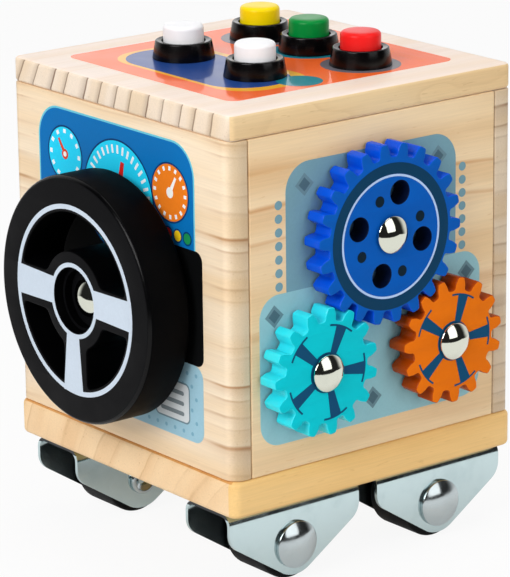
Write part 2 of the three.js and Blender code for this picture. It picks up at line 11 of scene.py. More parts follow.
import bpy
import numpy as np
from mathutils import Matrix, Vector
from mathutils.geometry import tessellate_polygon


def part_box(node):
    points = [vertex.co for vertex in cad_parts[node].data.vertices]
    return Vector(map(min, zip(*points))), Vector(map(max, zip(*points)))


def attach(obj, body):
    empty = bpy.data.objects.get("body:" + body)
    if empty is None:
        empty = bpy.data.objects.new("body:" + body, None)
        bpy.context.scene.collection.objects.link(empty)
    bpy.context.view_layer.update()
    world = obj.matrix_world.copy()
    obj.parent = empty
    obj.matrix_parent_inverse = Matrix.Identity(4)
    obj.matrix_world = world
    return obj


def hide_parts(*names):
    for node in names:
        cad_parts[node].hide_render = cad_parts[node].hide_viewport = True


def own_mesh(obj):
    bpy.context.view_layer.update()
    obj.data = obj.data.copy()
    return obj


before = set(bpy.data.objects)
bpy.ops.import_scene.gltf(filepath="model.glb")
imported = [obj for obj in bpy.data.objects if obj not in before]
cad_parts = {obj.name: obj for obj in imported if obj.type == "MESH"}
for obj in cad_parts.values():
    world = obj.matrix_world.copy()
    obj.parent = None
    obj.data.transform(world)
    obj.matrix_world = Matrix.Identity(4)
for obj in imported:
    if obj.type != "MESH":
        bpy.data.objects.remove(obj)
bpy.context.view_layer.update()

# %% [markdown]
# ## Where things are
# Lengths below are in millimetres, as a maker would write them, and MM turns them into Blender's
# metres. The faces that carry the toys are read from the frame, so a print or a wheel sits on its
# panel even if the box changes size. The pictures and the camera are measured from two lines that the
# photograph shows best: the axis of the wheel and the axis of the big gear.

# %% Places read from the frame
MM = 0.001


def node_box(name):
    """Lowest and highest corner of a CAD node, in millimetres."""
    low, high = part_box(name)
    return np.array(low) / MM, np.array(high) / MM


top_low, top_high = node_box("top_panel")
front_low, front_high = node_box("front_panel")
base_low, base_high = node_box("base_panel")
wheel_low, wheel_high = node_box("steering_wheel")
wheel_centre = (wheel_low + wheel_high) / 2
axis_x = wheel_centre[0]
axis_y = sum(node_box("big_gear_bolt"))[1] / 2
top_z = top_high[2]
front_y = front_low[1]
side_x = node_box("gear_side_panel")[1][0]
print("box", (top_high - top_low)[:2].round(2), "mm, top at", round(top_z, 2), "mm")

# %% [markdown]
# ## Camera
# The photograph is taken with a long lens from the corner between the wheel and the gears. The place
# and the lens come from the box itself: its edges are straight and its corners square, so the way they
# draw together in the picture gives the distance and the focal length.

# %% Camera
CAMERA_FROM_TOP = (787.17, -620.88, 220.0)
CAMERA_AZIMUTH = math.radians(51.861)
CAMERA_ELEVATION = math.radians(16.187)
CAMERA_ROLL = math.radians(-0.689)
CAMERA_LENS = 214.586
CAMERA_SENSOR = 36.0

camera = bpy.data.objects.new("camera", bpy.data.cameras.new("camera"))
camera.data.lens = CAMERA_LENS
camera.data.sensor_width = CAMERA_SENSOR
camera_turn = (
    Matrix.Rotation(CAMERA_AZIMUTH, 4, "Z")
    @ Matrix.Rotation(math.pi / 2 - CAMERA_ELEVATION, 4, "X")
    @ Matrix.Rotation(CAMERA_ROLL, 4, "Z")
)
camera_place = Vector(CAMERA_FROM_TOP) + Vector((axis_x, axis_y, top_z))
camera.matrix_world = Matrix.Translation(camera_place * MM) @ camera_turn
bpy.context.collection.objects.link(camera)
bpy.context.scene.camera = camera
bpy.context.scene.view_settings.view_transform = "Standard"
print("camera at", [round(c) for c in camera_place], "mm")

# %% [markdown]
# ## Shader nodes in short calls
# Materials are built from nodes. One helper adds a node, fills its sockets with numbers or links, and
# hands back its output, so that a material reads like a formula.


# %% Helpers: nodes
def fill(tree, node, inputs):
    """Gives each input of a node its value, or a link where the value is another node's socket."""
    for key, value in inputs.items():
        if isinstance(value, bpy.types.NodeSocket):
            tree.links.new(value, node.inputs[key])
        else:
            node.inputs[key].default_value = value


def add(tree, kind, inputs=None, out=0, **settings):
    """Adds one shader node, sets or links its inputs, and returns one of its outputs."""
    node = tree.nodes.new("ShaderNode" + kind)
    for name, value in settings.items():
        setattr(node, name, value)
    fill(tree, node, inputs or {})
    return node.outputs[out]


def calc(tree, operation, a, b=0.0):
    """One Math node."""
    return add(tree, "Math", {0: a, 1: b}, operation=operation)


print("node helpers ready")

# %% [markdown]
# Sums, products and mixes come up all the time, so each has a short name of its own.


# %% Helpers: arithmetic of nodes
def plus(tree, a, b):
    """a + b."""
    return calc(tree, "ADD", a, b)


def minus(tree, a, b):
    """a - b."""
    return calc(tree, "SUBTRACT", a, b)


def times(tree, a, b):
    """a times b."""
    return calc(tree, "MULTIPLY", a, b)


def larger(tree, a, b):
    """The larger one of a and b."""
    return calc(tree, "MAXIMUM", a, b)


def remap(tree, value, low, high, to_low=0.0, to_high=1.0):
    """Smooth step: value from low to high gives to_low to to_high."""
    inputs = {0: value, 1: low, 2: high, 3: to_low, 4: to_high}
    return add(tree, "MapRange", inputs, interpolation_type="SMOOTHSTEP")


def between(tree, share, a, b):
    """The value a share of the way from a to b."""
    return add(tree, "Mix", {0: share, 2: a, 3: b}, data_type="FLOAT")


def mixed(tree, share, a, b, how="MIX"):
    """Mixes colour b over colour a by a share."""
    inputs = {0: share, 6: a, 7: b}
    return add(tree, "Mix", inputs, out=2, data_type="RGBA", blend_type=how)


def shaded(tree, tint, shade):
    """A colour made lighter or darker by a value about 1."""
    grey = add(tree, "CombineColor", {0: shade, 1: shade, 2: shade})
    return mixed(tree, 1.0, tint, grey, "MULTIPLY")


def split(tree, vector):
    """The X, Y and Z of a vector."""
    return add(tree, "SeparateXYZ", {0: vector}).node.outputs


print("arithmetic ready")

# %% [markdown]
# ## Colours, groups and materials
# A colour is written as it looks on a screen and turned into the linear values that Blender takes. An
# effect that several materials share is a group with named inputs and outputs, built once.


# %% Helpers: colours, groups and materials
def colour(code):
    """A written sRGB colour such as F4DBBB, as the linear values that Blender takes."""
    parts = np.array([int(code[i : i + 2], 16) for i in (0, 2, 4)]) / 255
    linear = np.where(parts <= 0.04045, parts / 12.92, ((parts + 0.055) / 1.055) ** 2.4)
    return (*[float(v) for v in linear], 1.0)


def new_group(name, inputs, outputs):
    """A shader node group with named sockets; gives its tree, its input sockets and its output node."""
    tree = bpy.data.node_groups.new(name, "ShaderNodeTree")
    for socket, kind, value in inputs:
        made = tree.interface.new_socket(socket, in_out="INPUT", socket_type="NodeSocket" + kind)
        if value is not None:
            made.default_value = value
    for socket, kind in outputs:
        tree.interface.new_socket(socket, in_out="OUTPUT", socket_type="NodeSocket" + kind)
    return tree, tree.nodes.new("NodeGroupInput").outputs, tree.nodes.new("NodeGroupOutput").inputs


def use_group(tree, group, inputs):
    """Places a group in a tree and returns all its outputs by name."""
    node = tree.nodes.new("ShaderNodeGroup")
    node.node_tree = group
    fill(tree, node, inputs)
    return node.outputs


def new_material(name):
    """A material with its Principled BSDF, as (material, tree, shader)."""
    made = bpy.data.materials.new(name)
    made.use_nodes = True
    return made, made.node_tree, made.node_tree.nodes["Principled BSDF"]


def bumped(tree, height, strength, distance):
    """A normal from a height."""
    return add(tree, "Bump", {"Height": height, "Strength": strength, "Distance": distance})


ALONG_X = (0.0, 0.0, 0.0)
ALONG_Y = (0.0, 0.0, -math.pi / 2)


def millimetres(tree, turn=ALONG_X):
    """Object coordinates in millimetres, turned so that the first axis runs along the grain."""
    place = add(tree, "TexCoord", out="Object")
    return add(tree, "Mapping", {"Vector": place, "Rotation": turn, "Scale": (1 / MM,) * 3})


print("material helpers ready")

# %% [markdown]
# ## Noise
# Nothing on a real surface is quite even, and noise gives that. A pattern is squeezed before it is
# used: where it repeats seldom along the grain and often across, its spots become streaks.


# %% Helpers: noise
def squeezed(tree, vector, along, across):
    """The vector with its first axis scaled by along and the others by across."""
    return add(tree, "VectorMath", {0: vector, 1: (along, across, across)}, operation="MULTIPLY")


def noise(tree, vector, scales, detail=2.0, roughness=0.5):
    """Noise that repeats so often per millimetre: a pair of scales, along and across the grain."""
    vector = squeezed(tree, vector, *scales)
    inputs = {"Vector": vector, "Scale": 1.0, "Detail": detail, "Roughness": roughness}
    return add(tree, "TexNoise", inputs)


def noise_along(tree, value, scale, detail=1.0):
    """Noise in one dimension, along a value."""
    inputs = {"W": times(tree, value, scale), "Scale": 1.0, "Detail": detail}
    return add(tree, "TexNoise", inputs, noise_dimensions="1D")


def centred(tree, value, size):
    """Noise about zero, size times as strong."""
    return times(tree, minus(tree, value, 0.5), size)


print("noise helpers ready")

# %% [markdown]
# ## Pine, from its growth rings
# A board is a slice of a trunk, and the trunk's rings are tubes round its pith. So the colour of pine
# follows one number: the distance from a line that runs along the grain. On a flat face the tubes show
# as long soft bands, and where the board is sawn across, as a row of curved lines. One pattern in
# space gives both, and they meet at the edges. The trunk is never straight, so noise bends the rings:
# a slow bend and a quick, smaller one.

# %% Node group: pine, the distance from the pith
SLOW_BENDS, QUICK_BENDS = (0.009, 0.02), (0.035, 0.13)
QUICK_SHARE = 0.22

pine, given, result = new_group(
    "pine",
    [
        ("Vector", "Vector", None),
        ("Pale", "Color", (0.9, 0.8, 0.6, 1)),
        ("Band", "Color", (0.8, 0.6, 0.4, 1)),
        ("Line", "Color", (0.5, 0.3, 0.2, 1)),
        ("Pith Y", "Float", 0.0),
        ("Pith Z", "Float", 0.0),
        ("Spacing", "Float", 7.0),
        ("Wander", "Float", 6.0),
        ("Line Width", "Float", 0.14),
        ("Fall", "Float", 0.035),
        ("Unevenness", "Float", 1.0),
        ("Band Share", "Float", 0.6),
        ("Line Share", "Float", 0.4),
        ("Fleck Share", "Float", 0.2),
    ],
    [("Color", "Color"), ("Height", "Float")],
)
place = given["Vector"]
axes = split(pine, place)
off_y = minus(pine, axes["Y"], given["Pith Y"])
off_z = minus(pine, axes["Z"], given["Pith Z"])
squares = plus(pine, calc(pine, "POWER", off_y, 2.0), calc(pine, "POWER", off_z, 2.0))
slow = centred(pine, noise(pine, place, SLOW_BENDS, 1.0), given["Wander"])
quick_size = times(pine, given["Wander"], QUICK_SHARE)
quick = centred(pine, noise(pine, place, QUICK_BENDS, 1.0), quick_size)
distance = plus(pine, calc(pine, "SQRT", squares), plus(pine, slow, quick))
print("bends of up to", QUICK_SHARE, "of the wander ride on the slow ones")

# %% [markdown]
# Each ring is pale early wood that darkens slowly and ends at a sharp line of late wood. The distance
# is counted in rings: its whole part numbers the year, and the rest says how far the year has gone.
# Some years are stronger than others, and a line fades here and there along the board.

# %% Pine: the lines between the years
YEAR_JITTER, YEAR_UNEVENNESS = 0.07, 2.4
EARLY_WIDTHS = 3.4
PATCHES = (0.02, 0.06)

jitter_size = times(pine, given["Unevenness"], YEAR_UNEVENNESS)
jitter = centred(pine, noise_along(pine, distance, YEAR_JITTER), jitter_size)
rings = plus(pine, calc(pine, "DIVIDE", distance, given["Spacing"]), jitter)
year = add(pine, "TexWhiteNoise", {"W": calc(pine, "FLOOR", rings)}, noise_dimensions="1D")
phase = calc(pine, "FRACT", rings)
early = minus(pine, 1.0, times(pine, given["Line Width"], EARLY_WIDTHS))
late = minus(pine, 1.0, given["Line Width"])
peak = minus(pine, 1.0, given["Fall"])
slow_rise = remap(pine, phase, early, peak, 0.0, 0.4)
sharp_rise = remap(pine, phase, late, peak, 0.0, 0.6)
fall = remap(pine, phase, peak, 1.0, 1.0, 0.0)
line = times(pine, plus(pine, slow_rise, sharp_rise), fall)
patchy = remap(pine, noise(pine, place, PATCHES), 0.34, 0.6, 0.25, 1.0)
strength = times(pine, remap(pine, year, 0.0, 1.0, 0.2, 1.0), patchy)
line = times(pine, line, between(pine, given["Unevenness"], 1.0, strength))
print("lines: a slow and a sharp rise, then a fall")

# %% [markdown]
# The colour starts pale. Broad bands and clouds of a warmer tone go over it, then the lines, and last
# a few short dark flecks. Fine fibres shade it all a little and give the bump its height.

# %% Pine: colour and height
BROAD_BANDS = 0.11
CLOUDS, FIBRES, FLECKS = (0.012, 0.045), (0.06, 2.2), (0.22, 1.3)

band = remap(pine, noise_along(pine, distance, BROAD_BANDS, 0.0), 0.42, 0.7)
cloud = remap(pine, noise(pine, place, CLOUDS), 0.36, 0.62)
band = plus(pine, times(pine, band, 0.65), times(pine, cloud, 0.45))
fibres = noise(pine, place, FIBRES)
flecks = remap(pine, noise(pine, place, FLECKS, 1.0), 0.69, 0.78)
tint = mixed(pine, times(pine, band, given["Band Share"]), given["Pale"], given["Band"])
tint = mixed(pine, times(pine, line, given["Line Share"]), tint, given["Line"])
tint = mixed(pine, times(pine, flecks, given["Fleck Share"]), tint, given["Line"])
tint = shaded(pine, tint, remap(pine, fibres, 0.25, 0.75, 0.96, 1.03))
pine.links.new(tint, result["Color"])
pine.links.new(minus(pine, times(pine, fibres, 0.5), line), result["Height"])
print("pine group:", len(pine.nodes), "nodes")

# %% [markdown]
# ## Wood materials
# Each board comes from another place in the trunk, so each material says how the board is turned and
# where its pith lies: far behind the face for the walls, which show wide bands, and far to one side
# for the top, whose sawn front edge shows a row of nearly upright lines. A sawn end drinks more
# lacquer. On the front and back walls that shows at the rounded corners: the lines grow stronger
# towards the ends of the board, and its last few millimetres are a little darker. The top and the base
# have a material of their own on each kind of face, over the same rings. The lacquer is satin.

# %% A wood material
END_TINT = "DEDAD2"
END_LINES = (14, 3)
END_DARK = (3.2, 0.4)
LACQUER_SHINE = 0.35


def wood(name, turn, colours, pith, end=None, **values):
    """A lacquered pine material: colours are its pale, band and line colours. Where end gives (middle,
    half length, line share), the board is darker at its sawn ends and its lines grow stronger there."""
    made, tree, shader = new_material(name)
    vector = millimetres(tree, turn)
    inputs = {key.replace("_", " "): value for key, value in values.items()}
    inputs |= {key: colour(code) for key, code in zip(("Pale", "Band", "Line"), colours)}
    inputs |= {"Vector": vector, "Pith Y": pith[0], "Pith Z": pith[1]}
    if end:
        middle, half, end_share = end
        along = calc(tree, "ABSOLUTE", minus(tree, split(tree, vector)["X"], middle))
        start, stop = (half - inset for inset in END_LINES)
        inputs["Line Share"] = remap(tree, along, start, stop, inputs["Line Share"], end_share)
    grain = use_group(tree, pine, inputs)
    tint = grain["Color"]
    if end:
        near_end = remap(tree, along, *(half - inset for inset in END_DARK))
        tint = mixed(tree, near_end, tint, colour(END_TINT), "MULTIPLY")
    tree.links.new(tint, shader.inputs["Base Color"])
    gloss = remap(tree, grain["Height"], -0.6, 0.5, 0.52, 0.4)
    tree.links.new(gloss, shader.inputs["Roughness"])
    tree.links.new(bumped(tree, grain["Height"], 0.2, 0.1 * MM), shader.inputs["Normal"])
    shader.inputs["Specular IOR Level"].default_value = LACQUER_SHINE
    return made


print("lacquer of specular level", LACQUER_SHINE)

# %% Woods of the walls
WALL_ENDS = ((front_low[0] + front_high[0]) / 2, (front_high[0] - front_low[0]) / 2, 0.95)

front_wood = wood(
    "pine front", ALONG_X, ("F7E3C7", "EDCA9A", "B98452"), (-50, -30), WALL_ENDS,
    Spacing=5.4, Line_Width=0.3, Line_Share=0.35, Fall=0.14, Wander=5.0,
)
back_wood = wood(
    "pine back", ALONG_X, ("FBE9D2", "EAC899", "98683C"), (58, -40), WALL_ENDS,
    Spacing=5.2, Line_Width=0.3, Line_Share=0.3, Fall=0.14, Wander=4.0,
)
side_wood = wood(
    "pine side", ALONG_Y, ("F2D7AE", "E2BC88", "C88E54"), (-14, 66),
    Spacing=9.0, Wander=9.0, Line_Width=0.3, Line_Share=0.75, Fall=0.2,
)
print("wall woods:", front_wood.name, back_wood.name, side_wood.name)

# %% Woods of the top and the base
TOP_PITH, BASE_PITH = (130, 182), (-95, -30)

top_wood = wood(
    "pine top", ALONG_Y, ("F9E8DC", "F3DABF", "D9AE84"), TOP_PITH, Spacing=7.5, Line_Share=0.25
)
top_edge_wood = wood(
    "pine top long edge", ALONG_Y, ("EED1A2", "DEB378", "A6763E"), TOP_PITH, Spacing=7.5, Wander=16.0
)
top_end_wood = wood(
    "pine top end", ALONG_Y, ("F4E2CE", "E4C8A2", "745238"), TOP_PITH,
    Spacing=7.3, Wander=1.6, Line_Width=0.13, Line_Share=1.0, Band_Share=0.6, Unevenness=0.3, Fall=0.05,
)
base_wood = wood(
    "honey pine base", ALONG_Y, ("F4CB88", "E9B463", "BD863F"), BASE_PITH, Spacing=6.0, Line_Share=0.4
)
base_end_wood = wood(
    "honey pine base end", ALONG_Y, ("F7D5A8", "EABF8C", "B8844E"), BASE_PITH,
    Spacing=8.0, Line_Width=0.2, Line_Share=0.4, Fall=0.1, Fleck_Share=0.45,
)
# Painted shade: the upper edge of the base next to the wall is a deeper honey.
base_ledge_shade_wood = wood(
    "honey pine ledge, painted shade", ALONG_Y, ("E0A560", "CE8C48", "8E5422"), BASE_PITH, Spacing=6.0
)
print("wood materials:", [m.name for m in bpy.data.materials if "pine" in m.name])

# %% [markdown]
# ## Outlines
# Almost every part of the toy is either turned on a lathe or cut from a plate with rounded edges. Both
# start from a few curves in a plane, worked out as whole arrays of points.


# %% Helpers: curves in a plane
def arc(x, y, radius, start, end, steps):
    """Points of a circular arc about (x, y), from one angle to another."""
    turn = np.linspace(start, end, steps + 1)
    return np.stack([x + radius * np.cos(turn), y + radius * np.sin(turn)], axis=1)


def circle(x, y, radius, steps, hole=False):
    """A closed circle, clockwise where it is a hole."""
    loop = arc(x, y, radius, 0, 2 * math.pi, steps)[:-1]
    return loop[::-1] if hole else loop


def bend(before, corner, after, steps=5):
    """Points of a curve that leaves one side of a corner and joins the other, touching both: weights
    (1 - t) squared, 2 t (1 - t) and t squared on the three points, for t from 0 to 1."""
    share = np.linspace(0, 1, steps + 1)[:, None]
    return (1 - share) ** 2 * before + 2 * share * (1 - share) * corner + share**2 * after


def rounded_box_outline(low, high, radii, steps=10):
    """A rectangle whose four corners, from the lower right one anticlockwise, have their own radii:
    each corner is a quarter circle about the point that lies its radius inside both sides."""
    corners = [(1, 0), (1, 1), (0, 1), (0, 0)]
    parts = []
    for (right, upper), radius, start in zip(corners, radii, (-0.5, 0, 0.5, 1)):
        x = high[0] - radius if right else low[0] + radius
        y = high[1] - radius if upper else low[1] + radius
        parts.append(arc(x, y, radius, start * math.pi, (start + 0.5) * math.pi, steps))
    return np.concatenate(parts)


def outward(loop):
    """Mitred outward direction at each point: the right-hand side of the way the loop runs."""
    step = np.roll(loop, -1, axis=0) - loop
    side = np.stack([step[:, 1], -step[:, 0]], axis=1)
    side /= np.linalg.norm(side, axis=1, keepdims=True)
    before = np.roll(side, 1, axis=0)
    return (side + before) / (1 + np.sum(side * before, axis=1, keepdims=True))


print("curve helpers ready")

# %% [markdown]
# ## Faces of a grid
# A surface is a grid of points: rows of a profile carried round an axis or along an outline. Its faces
# follow from the grid's order alone, so they are worked out from counts, without a look at the points.


# %% Helpers: faces
def grid_faces(across, up, wrap_up=False):
    """Faces of a grid that closes on itself across and, if asked, upwards; row follows row."""
    i = np.arange(across)
    j = np.arange(up if wrap_up else up - 1)
    jj, ii = np.meshgrid(j, i, indexing="ij")
    nxt, above = (ii + 1) % across, (jj + 1) % up
    quads = [jj * across + ii, jj * across + nxt, above * across + nxt, above * across + ii]
    return np.stack(quads, axis=-1).reshape(-1, 4)


def fan_faces(pole, first, count, down=False):
    """Triangles from one shared point to a closed row of points."""
    here = first + np.arange(count)
    after = first + (np.arange(count) + 1) % count
    top = np.full(count, pole)
    return np.stack([top, after, here] if down else [here, after, top], axis=1)


def filling(loops):
    """Triangles that fill an outline less its holes, all anticlockwise, as rows of point numbers."""
    spot = np.concatenate(loops)
    level = [np.pad(loop, ((0, 0), (0, 1))).tolist() for loop in loops]
    triangles = np.array(tessellate_polygon(level))
    a, b, c = (spot[triangles[:, k]] for k in range(3))
    over = (b - a)[:, 0] * (c - a)[:, 1] - (b - a)[:, 1] * (c - a)[:, 0] < 0
    triangles[over] = triangles[over][:, ::-1]
    return triangles


print("face helpers ready")

# %% [markdown]
# ## Plates and turned pieces
# A plate is its outline carried up a short profile, which steps in at both faces as a quarter circle
# does. A turned piece is a profile carried round an axis. A flat side keeps its crisp look only where
# its faces are marked flat, so a plate says which of its faces are.

# %% Helpers: plate and lathe
STRAIGHT_OVER = 2.2


def plate(loops, thickness, eases, edge_steps=4):
    """A flat plate with rounded edges: each outline is carried up a profile that steps in by its ease at
    both faces, as a quarter circle does, and the faces are filled. The outer loop runs anticlockwise
    and holes clockwise. Gives points, blocks of faces, and which faces are flat."""
    points, faces, flat, ends, lows, highs = [], [], [], [], [], []
    count = 0
    quarter = np.linspace(0, math.pi / 2, edge_steps + 1)
    for loop, ease in zip(loops, eases):
        inset = ease * (1 - np.sin(quarter))
        rise = ease * (1 - np.cos(quarter))
        inset = np.concatenate([inset, inset[::-1]])
        height = np.concatenate([rise, thickness - rise[::-1]])
        rows = loop[None] - inset[:, None, None] * outward(loop)[None]
        level = np.broadcast_to(height[:, None, None], rows.shape[:2] + (1,))
        points.append(np.concatenate([rows, level], axis=2).reshape(-1, 3))
        faces.append(grid_faces(len(loop), len(height)) + count)
        length = np.linalg.norm(np.roll(loop, -1, axis=0) - loop, axis=1)
        straight = np.zeros((len(height) - 1, len(loop)), bool)
        straight[edge_steps] = length > STRAIGHT_OVER
        flat.append(straight.ravel())
        ends.append(rows[0])
        lows.append(count + np.arange(len(loop)))
        count += len(loop) * len(height)
        highs.append(count - len(loop) + np.arange(len(loop)))
    triangles = filling(ends)
    faces += [np.concatenate(highs)[triangles], np.concatenate(lows)[triangles[:, ::-1]]]
    flat.append(np.ones(2 * len(triangles), bool))
    return np.concatenate(points), faces, np.concatenate(flat)


def turned(profile, steps=96, closed=False):
    """A lathe surface: each (radius, height) of the profile goes round the Z axis. A point on the axis
    is one shared point, and a closed profile is a ring. Gives points and blocks of faces."""
    profile = np.array(profile, float)
    turn = np.arange(steps) * 2 * math.pi / steps
    radius, height = profile[:, 0], profile[:, 1]
    across, deep = np.outer(radius, np.cos(turn)), np.outer(radius, np.sin(turn))
    rows = np.stack([across, deep, np.outer(height, np.ones(steps))], axis=2)
    if closed:
        return rows.reshape(-1, 3), [grid_faces(steps, len(profile), True)]
    body = rows[1:-1].reshape(-1, 3)
    points = np.concatenate([body, rows[:1, 0], rows[-1:, 0]])
    bottom = fan_faces(len(body), 0, steps, down=True)
    top = fan_faces(len(body) + 1, len(body) - steps, steps)
    return points, [grid_faces(steps, len(profile) - 2), bottom, top]


def rounding(x, y, radius, start, end, steps=6):
    """A rounded corner of a profile, as pairs: an arc between two angles in half turns."""
    return [tuple(p) for p in arc(x, y, radius, start * math.pi, end * math.pi, steps)]


print("plate and lathe ready")

# %% [markdown]
# ## From arrays to objects
# A piece is made about the Z axis and then laid along the axis that it has on the toy. Its points stay
# where they are on the toy, and the object itself sits at the origin, as the CAD nodes do. Curves are
# shaded smooth, and an edge sharper than 34 degrees stays an edge.

# %% Helpers: laying and making a piece
SHARP_OVER = math.radians(34)


def along_x(points):
    """Lays a piece that was made about Z along X: its first axis becomes Y and its second Z."""
    return points[:, [2, 0, 1]]


def along_minus_y(points):
    """Lays a piece that was made about Z along -Y, with its second axis up."""
    return points[:, [0, 2, 1]] * np.array([1, -1, 1])


def along_z(points):
    """Leaves a piece that was made about Z as it is."""
    return points


def joined(*parts):
    """Several (points, blocks of faces) as one."""
    starts = np.cumsum([0] + [len(points) for points, _ in parts])
    faces = [block + start for (_, blocks), start in zip(parts, starts) for block in blocks]
    return np.concatenate([points for points, _ in parts]), faces


def piece(name, points, faces, materials, body, nodes=(), flat=None, face_material=None):
    """Makes the object: points in millimetres in the frame, faces outwards, curves smooth and edges
    sharp, riding on its body in place of the named CAD nodes. face_material gives each face the
    number of its material from the faces' normals and centres."""
    mesh = bpy.data.meshes.new(name)
    mesh.from_pydata((points * MM).tolist(), [], [row for block in faces for row in block.tolist()])
    count = len(mesh.polygons)
    for material in materials:
        mesh.materials.append(material)
    if face_material is not None:
        normals, centres = np.empty(count * 3), np.empty(count * 3)
        mesh.polygons.foreach_get("normal", normals)
        mesh.polygons.foreach_get("center", centres)
        chosen = face_material(normals.reshape(-1, 3), centres.reshape(-1, 3) / MM)
        mesh.polygons.foreach_set("material_index", chosen.astype(np.int32))
    smooth = np.ones(count, bool) if flat is None else ~flat
    mesh.polygons.foreach_set("use_smooth", smooth)
    mesh.set_sharp_from_angle(angle=SHARP_OVER)
    mesh.update()
    made = bpy.data.objects.new(name, mesh)
    bpy.context.collection.objects.link(made)
    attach(made, body)
    if nodes:
        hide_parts(*nodes)
    return made


print("shape helpers ready")

# %% [markdown]
# ## The box
# Six boards make the box. The walls stand between the base and the top, the front and back run the
# full width, and the sides fit between them. Each board keeps its CAD size less a hair at the joints,
# because two boards never meet without a fine dark line. The top board comes first. It has a hole for
# each push button, and three woods: one for its flat faces, one for its long edges and one for its ends.

# %% Top board
BUTTONS = ["white_left", "white_right", "yellow", "green", "red"]
TOP_CORNER_RADIUS = 2.4
TOP_EASE = 1.1
PANEL_HOLE_RADIUS = 8.3
PANEL_HOLE_EASE = 0.2
SIDE_FACING = 0.6

button_places = {name: sum(node_box(f"button_cap_{name}")) / 2 for name in BUTTONS}


def lifted(made, height):
    """A plate raised by a height."""
    points, faces, flat = made
    return points + np.array([0, 0, height]), faces, flat


def top_faces(normals, _):
    """The top board's flat faces are 0, its long edges 1 and its sawn ends 2."""
    x, y = np.abs(normals[:, 0]), np.abs(normals[:, 1])
    edge = np.where(x > np.maximum(y, SIDE_FACING), 1, 0)
    return np.where(y > np.maximum(x, SIDE_FACING), 2, edge)


top_outline = rounded_box_outline(top_low, top_high, [TOP_CORNER_RADIUS] * 4)
top_holes = [circle(x, y, PANEL_HOLE_RADIUS, 48, hole=True) for x, y, _ in button_places.values()]
top_eases = [TOP_EASE] + [PANEL_HOLE_EASE] * len(top_holes)
top_plate = plate([top_outline] + top_holes, top_z - top_low[2], top_eases)
points, faces, flat = lifted(top_plate, top_low[2])
piece(
    "top_board", points, faces, [top_wood, top_edge_wood, top_end_wood], "body",
    ["top_panel"], flat, top_faces,
)
print("top board with", len(top_holes), "holes")

# %% [markdown]
# The base is a thicker board of a warmer wood, and its edges are rounder. Below the steering wheel, its
# upper edge next to the wall is painted a deeper honey as shade.

# %% Base board
BASE_CORNER_RADIUS = 3.2
BASE_EASE = 1.5
END_ON = 5
LEDGE_AHEAD = 2
NOT_FLAT = 0.95
LEDGE_TILT = (0.7, 0.999)


def base_faces(normals, _):
    """The base's long faces are 0, its sawn ends 1, and the upper edge below the wheel, painted darker
    as shade, 2.
    """
    x, y, z = normals.T
    end = (np.abs(y) > END_ON * np.abs(x)) & (np.abs(z) < NOT_FLAT)
    ledge = (z > LEDGE_TILT[0]) & (z < LEDGE_TILT[1]) & (-y > LEDGE_AHEAD * np.abs(x))
    return np.where(ledge, 2, np.where(end, 1, 0))


base_outline = rounded_box_outline(base_low, base_high, [BASE_CORNER_RADIUS] * 4, 16)
base_plate = plate([base_outline], base_high[2] - base_low[2], [BASE_EASE])
points, faces, flat = lifted(base_plate, base_low[2])
piece(
    "base_board", points, faces, [base_wood, base_end_wood, base_ledge_shade_wood], "body",
    ["base_panel"], flat, base_faces,
)
print("base board", round(base_high[2] - base_low[2], 2), "mm thick")

# %% [markdown]
# The four walls are plates as well, seen from above: the outline in plan is carried up from the base
# to the top. The box's upright edges are rounded on the front and back boards alone.

# %% Walls
JOINT_GAP = 0.1
CORNER_GAP = 0.25
WALL_EDGE_RADIUS = 4.5
WALL_FAR_RADIUS = 2.5
WALL_INNER_RADIUS = 0.5
WALL_EASE = 0.35


def wall(name, node, radii, material, gap_y=0):
    """A wall board: its outline in plan, carried up between the base and the top."""
    low, high = node_box(node)
    gap = np.array([0, gap_y])
    outline = rounded_box_outline(low[:2] + gap, high[:2] - gap, radii)
    board = plate([outline], high[2] - low[2] - 2 * JOINT_GAP, [WALL_EASE], 3)
    points, faces, flat = lifted(board, low[2] + JOINT_GAP)
    piece(name, points, faces, [material], "body", [node], flat)


near, far, inner = WALL_EDGE_RADIUS, WALL_FAR_RADIUS, WALL_INNER_RADIUS
wall("front_board", "front_panel", [near, inner, inner, far], front_wood)
wall("back_board", "back_panel", [inner, far, near, inner], back_wood)
wall("gear_side_board", "gear_side_panel", [inner] * 4, side_wood, CORNER_GAP)
wall("left_side_board", "left_side_panel", [inner] * 4, side_wood, CORNER_GAP)

# %% [markdown]
# ## Plastic and metal
# Moulded plastic is never quite even: its gloss changes a little over the surface, handling leaves
# faint dull patches and small specks, and its skin has a slight ripple. Plated metal is uneven in the
# same way, only less. So one group serves both, with colours and amounts of its own for each material.

# %% Node group: handled surface
HANDLING, SPECKS, SKIN = (0.09, 0.09), (1.6, 1.6), (0.9, 0.9)

handled, given, result = new_group(
    "handled surface",
    [
        ("Vector", "Vector", None),
        ("Color", "Color", (0.5, 0.5, 0.5, 1)),
        ("Dull Color", "Color", (0.5, 0.5, 0.5, 1)),
        ("Gloss", "Float", 0.3),
        ("Unevenness", "Float", 0.1),
    ],
    [("Color", "Color"), ("Roughness", "Float"), ("Height", "Float")],
)
patches = noise(handled, given["Vector"], HANDLING, 4.0, 0.6)
specks = remap(handled, noise(handled, given["Vector"], SPECKS, 1.0), 0.7, 0.76)
worn = remap(handled, patches, 0.45, 0.7)
spread = times(handled, remap(handled, patches, 0.3, 0.7, -0.5, 1.0), given["Unevenness"])
dulled = plus(handled, times(handled, worn, 0.35), times(handled, specks, 0.25))
handled.links.new(mixed(handled, dulled, given["Color"], given["Dull Color"]), result["Color"])
handled.links.new(plus(handled, given["Gloss"], spread), result["Roughness"])
handled.links.new(noise(handled, given["Vector"], SKIN), result["Height"])
print("handled surface group:", len(handled.nodes), "nodes")


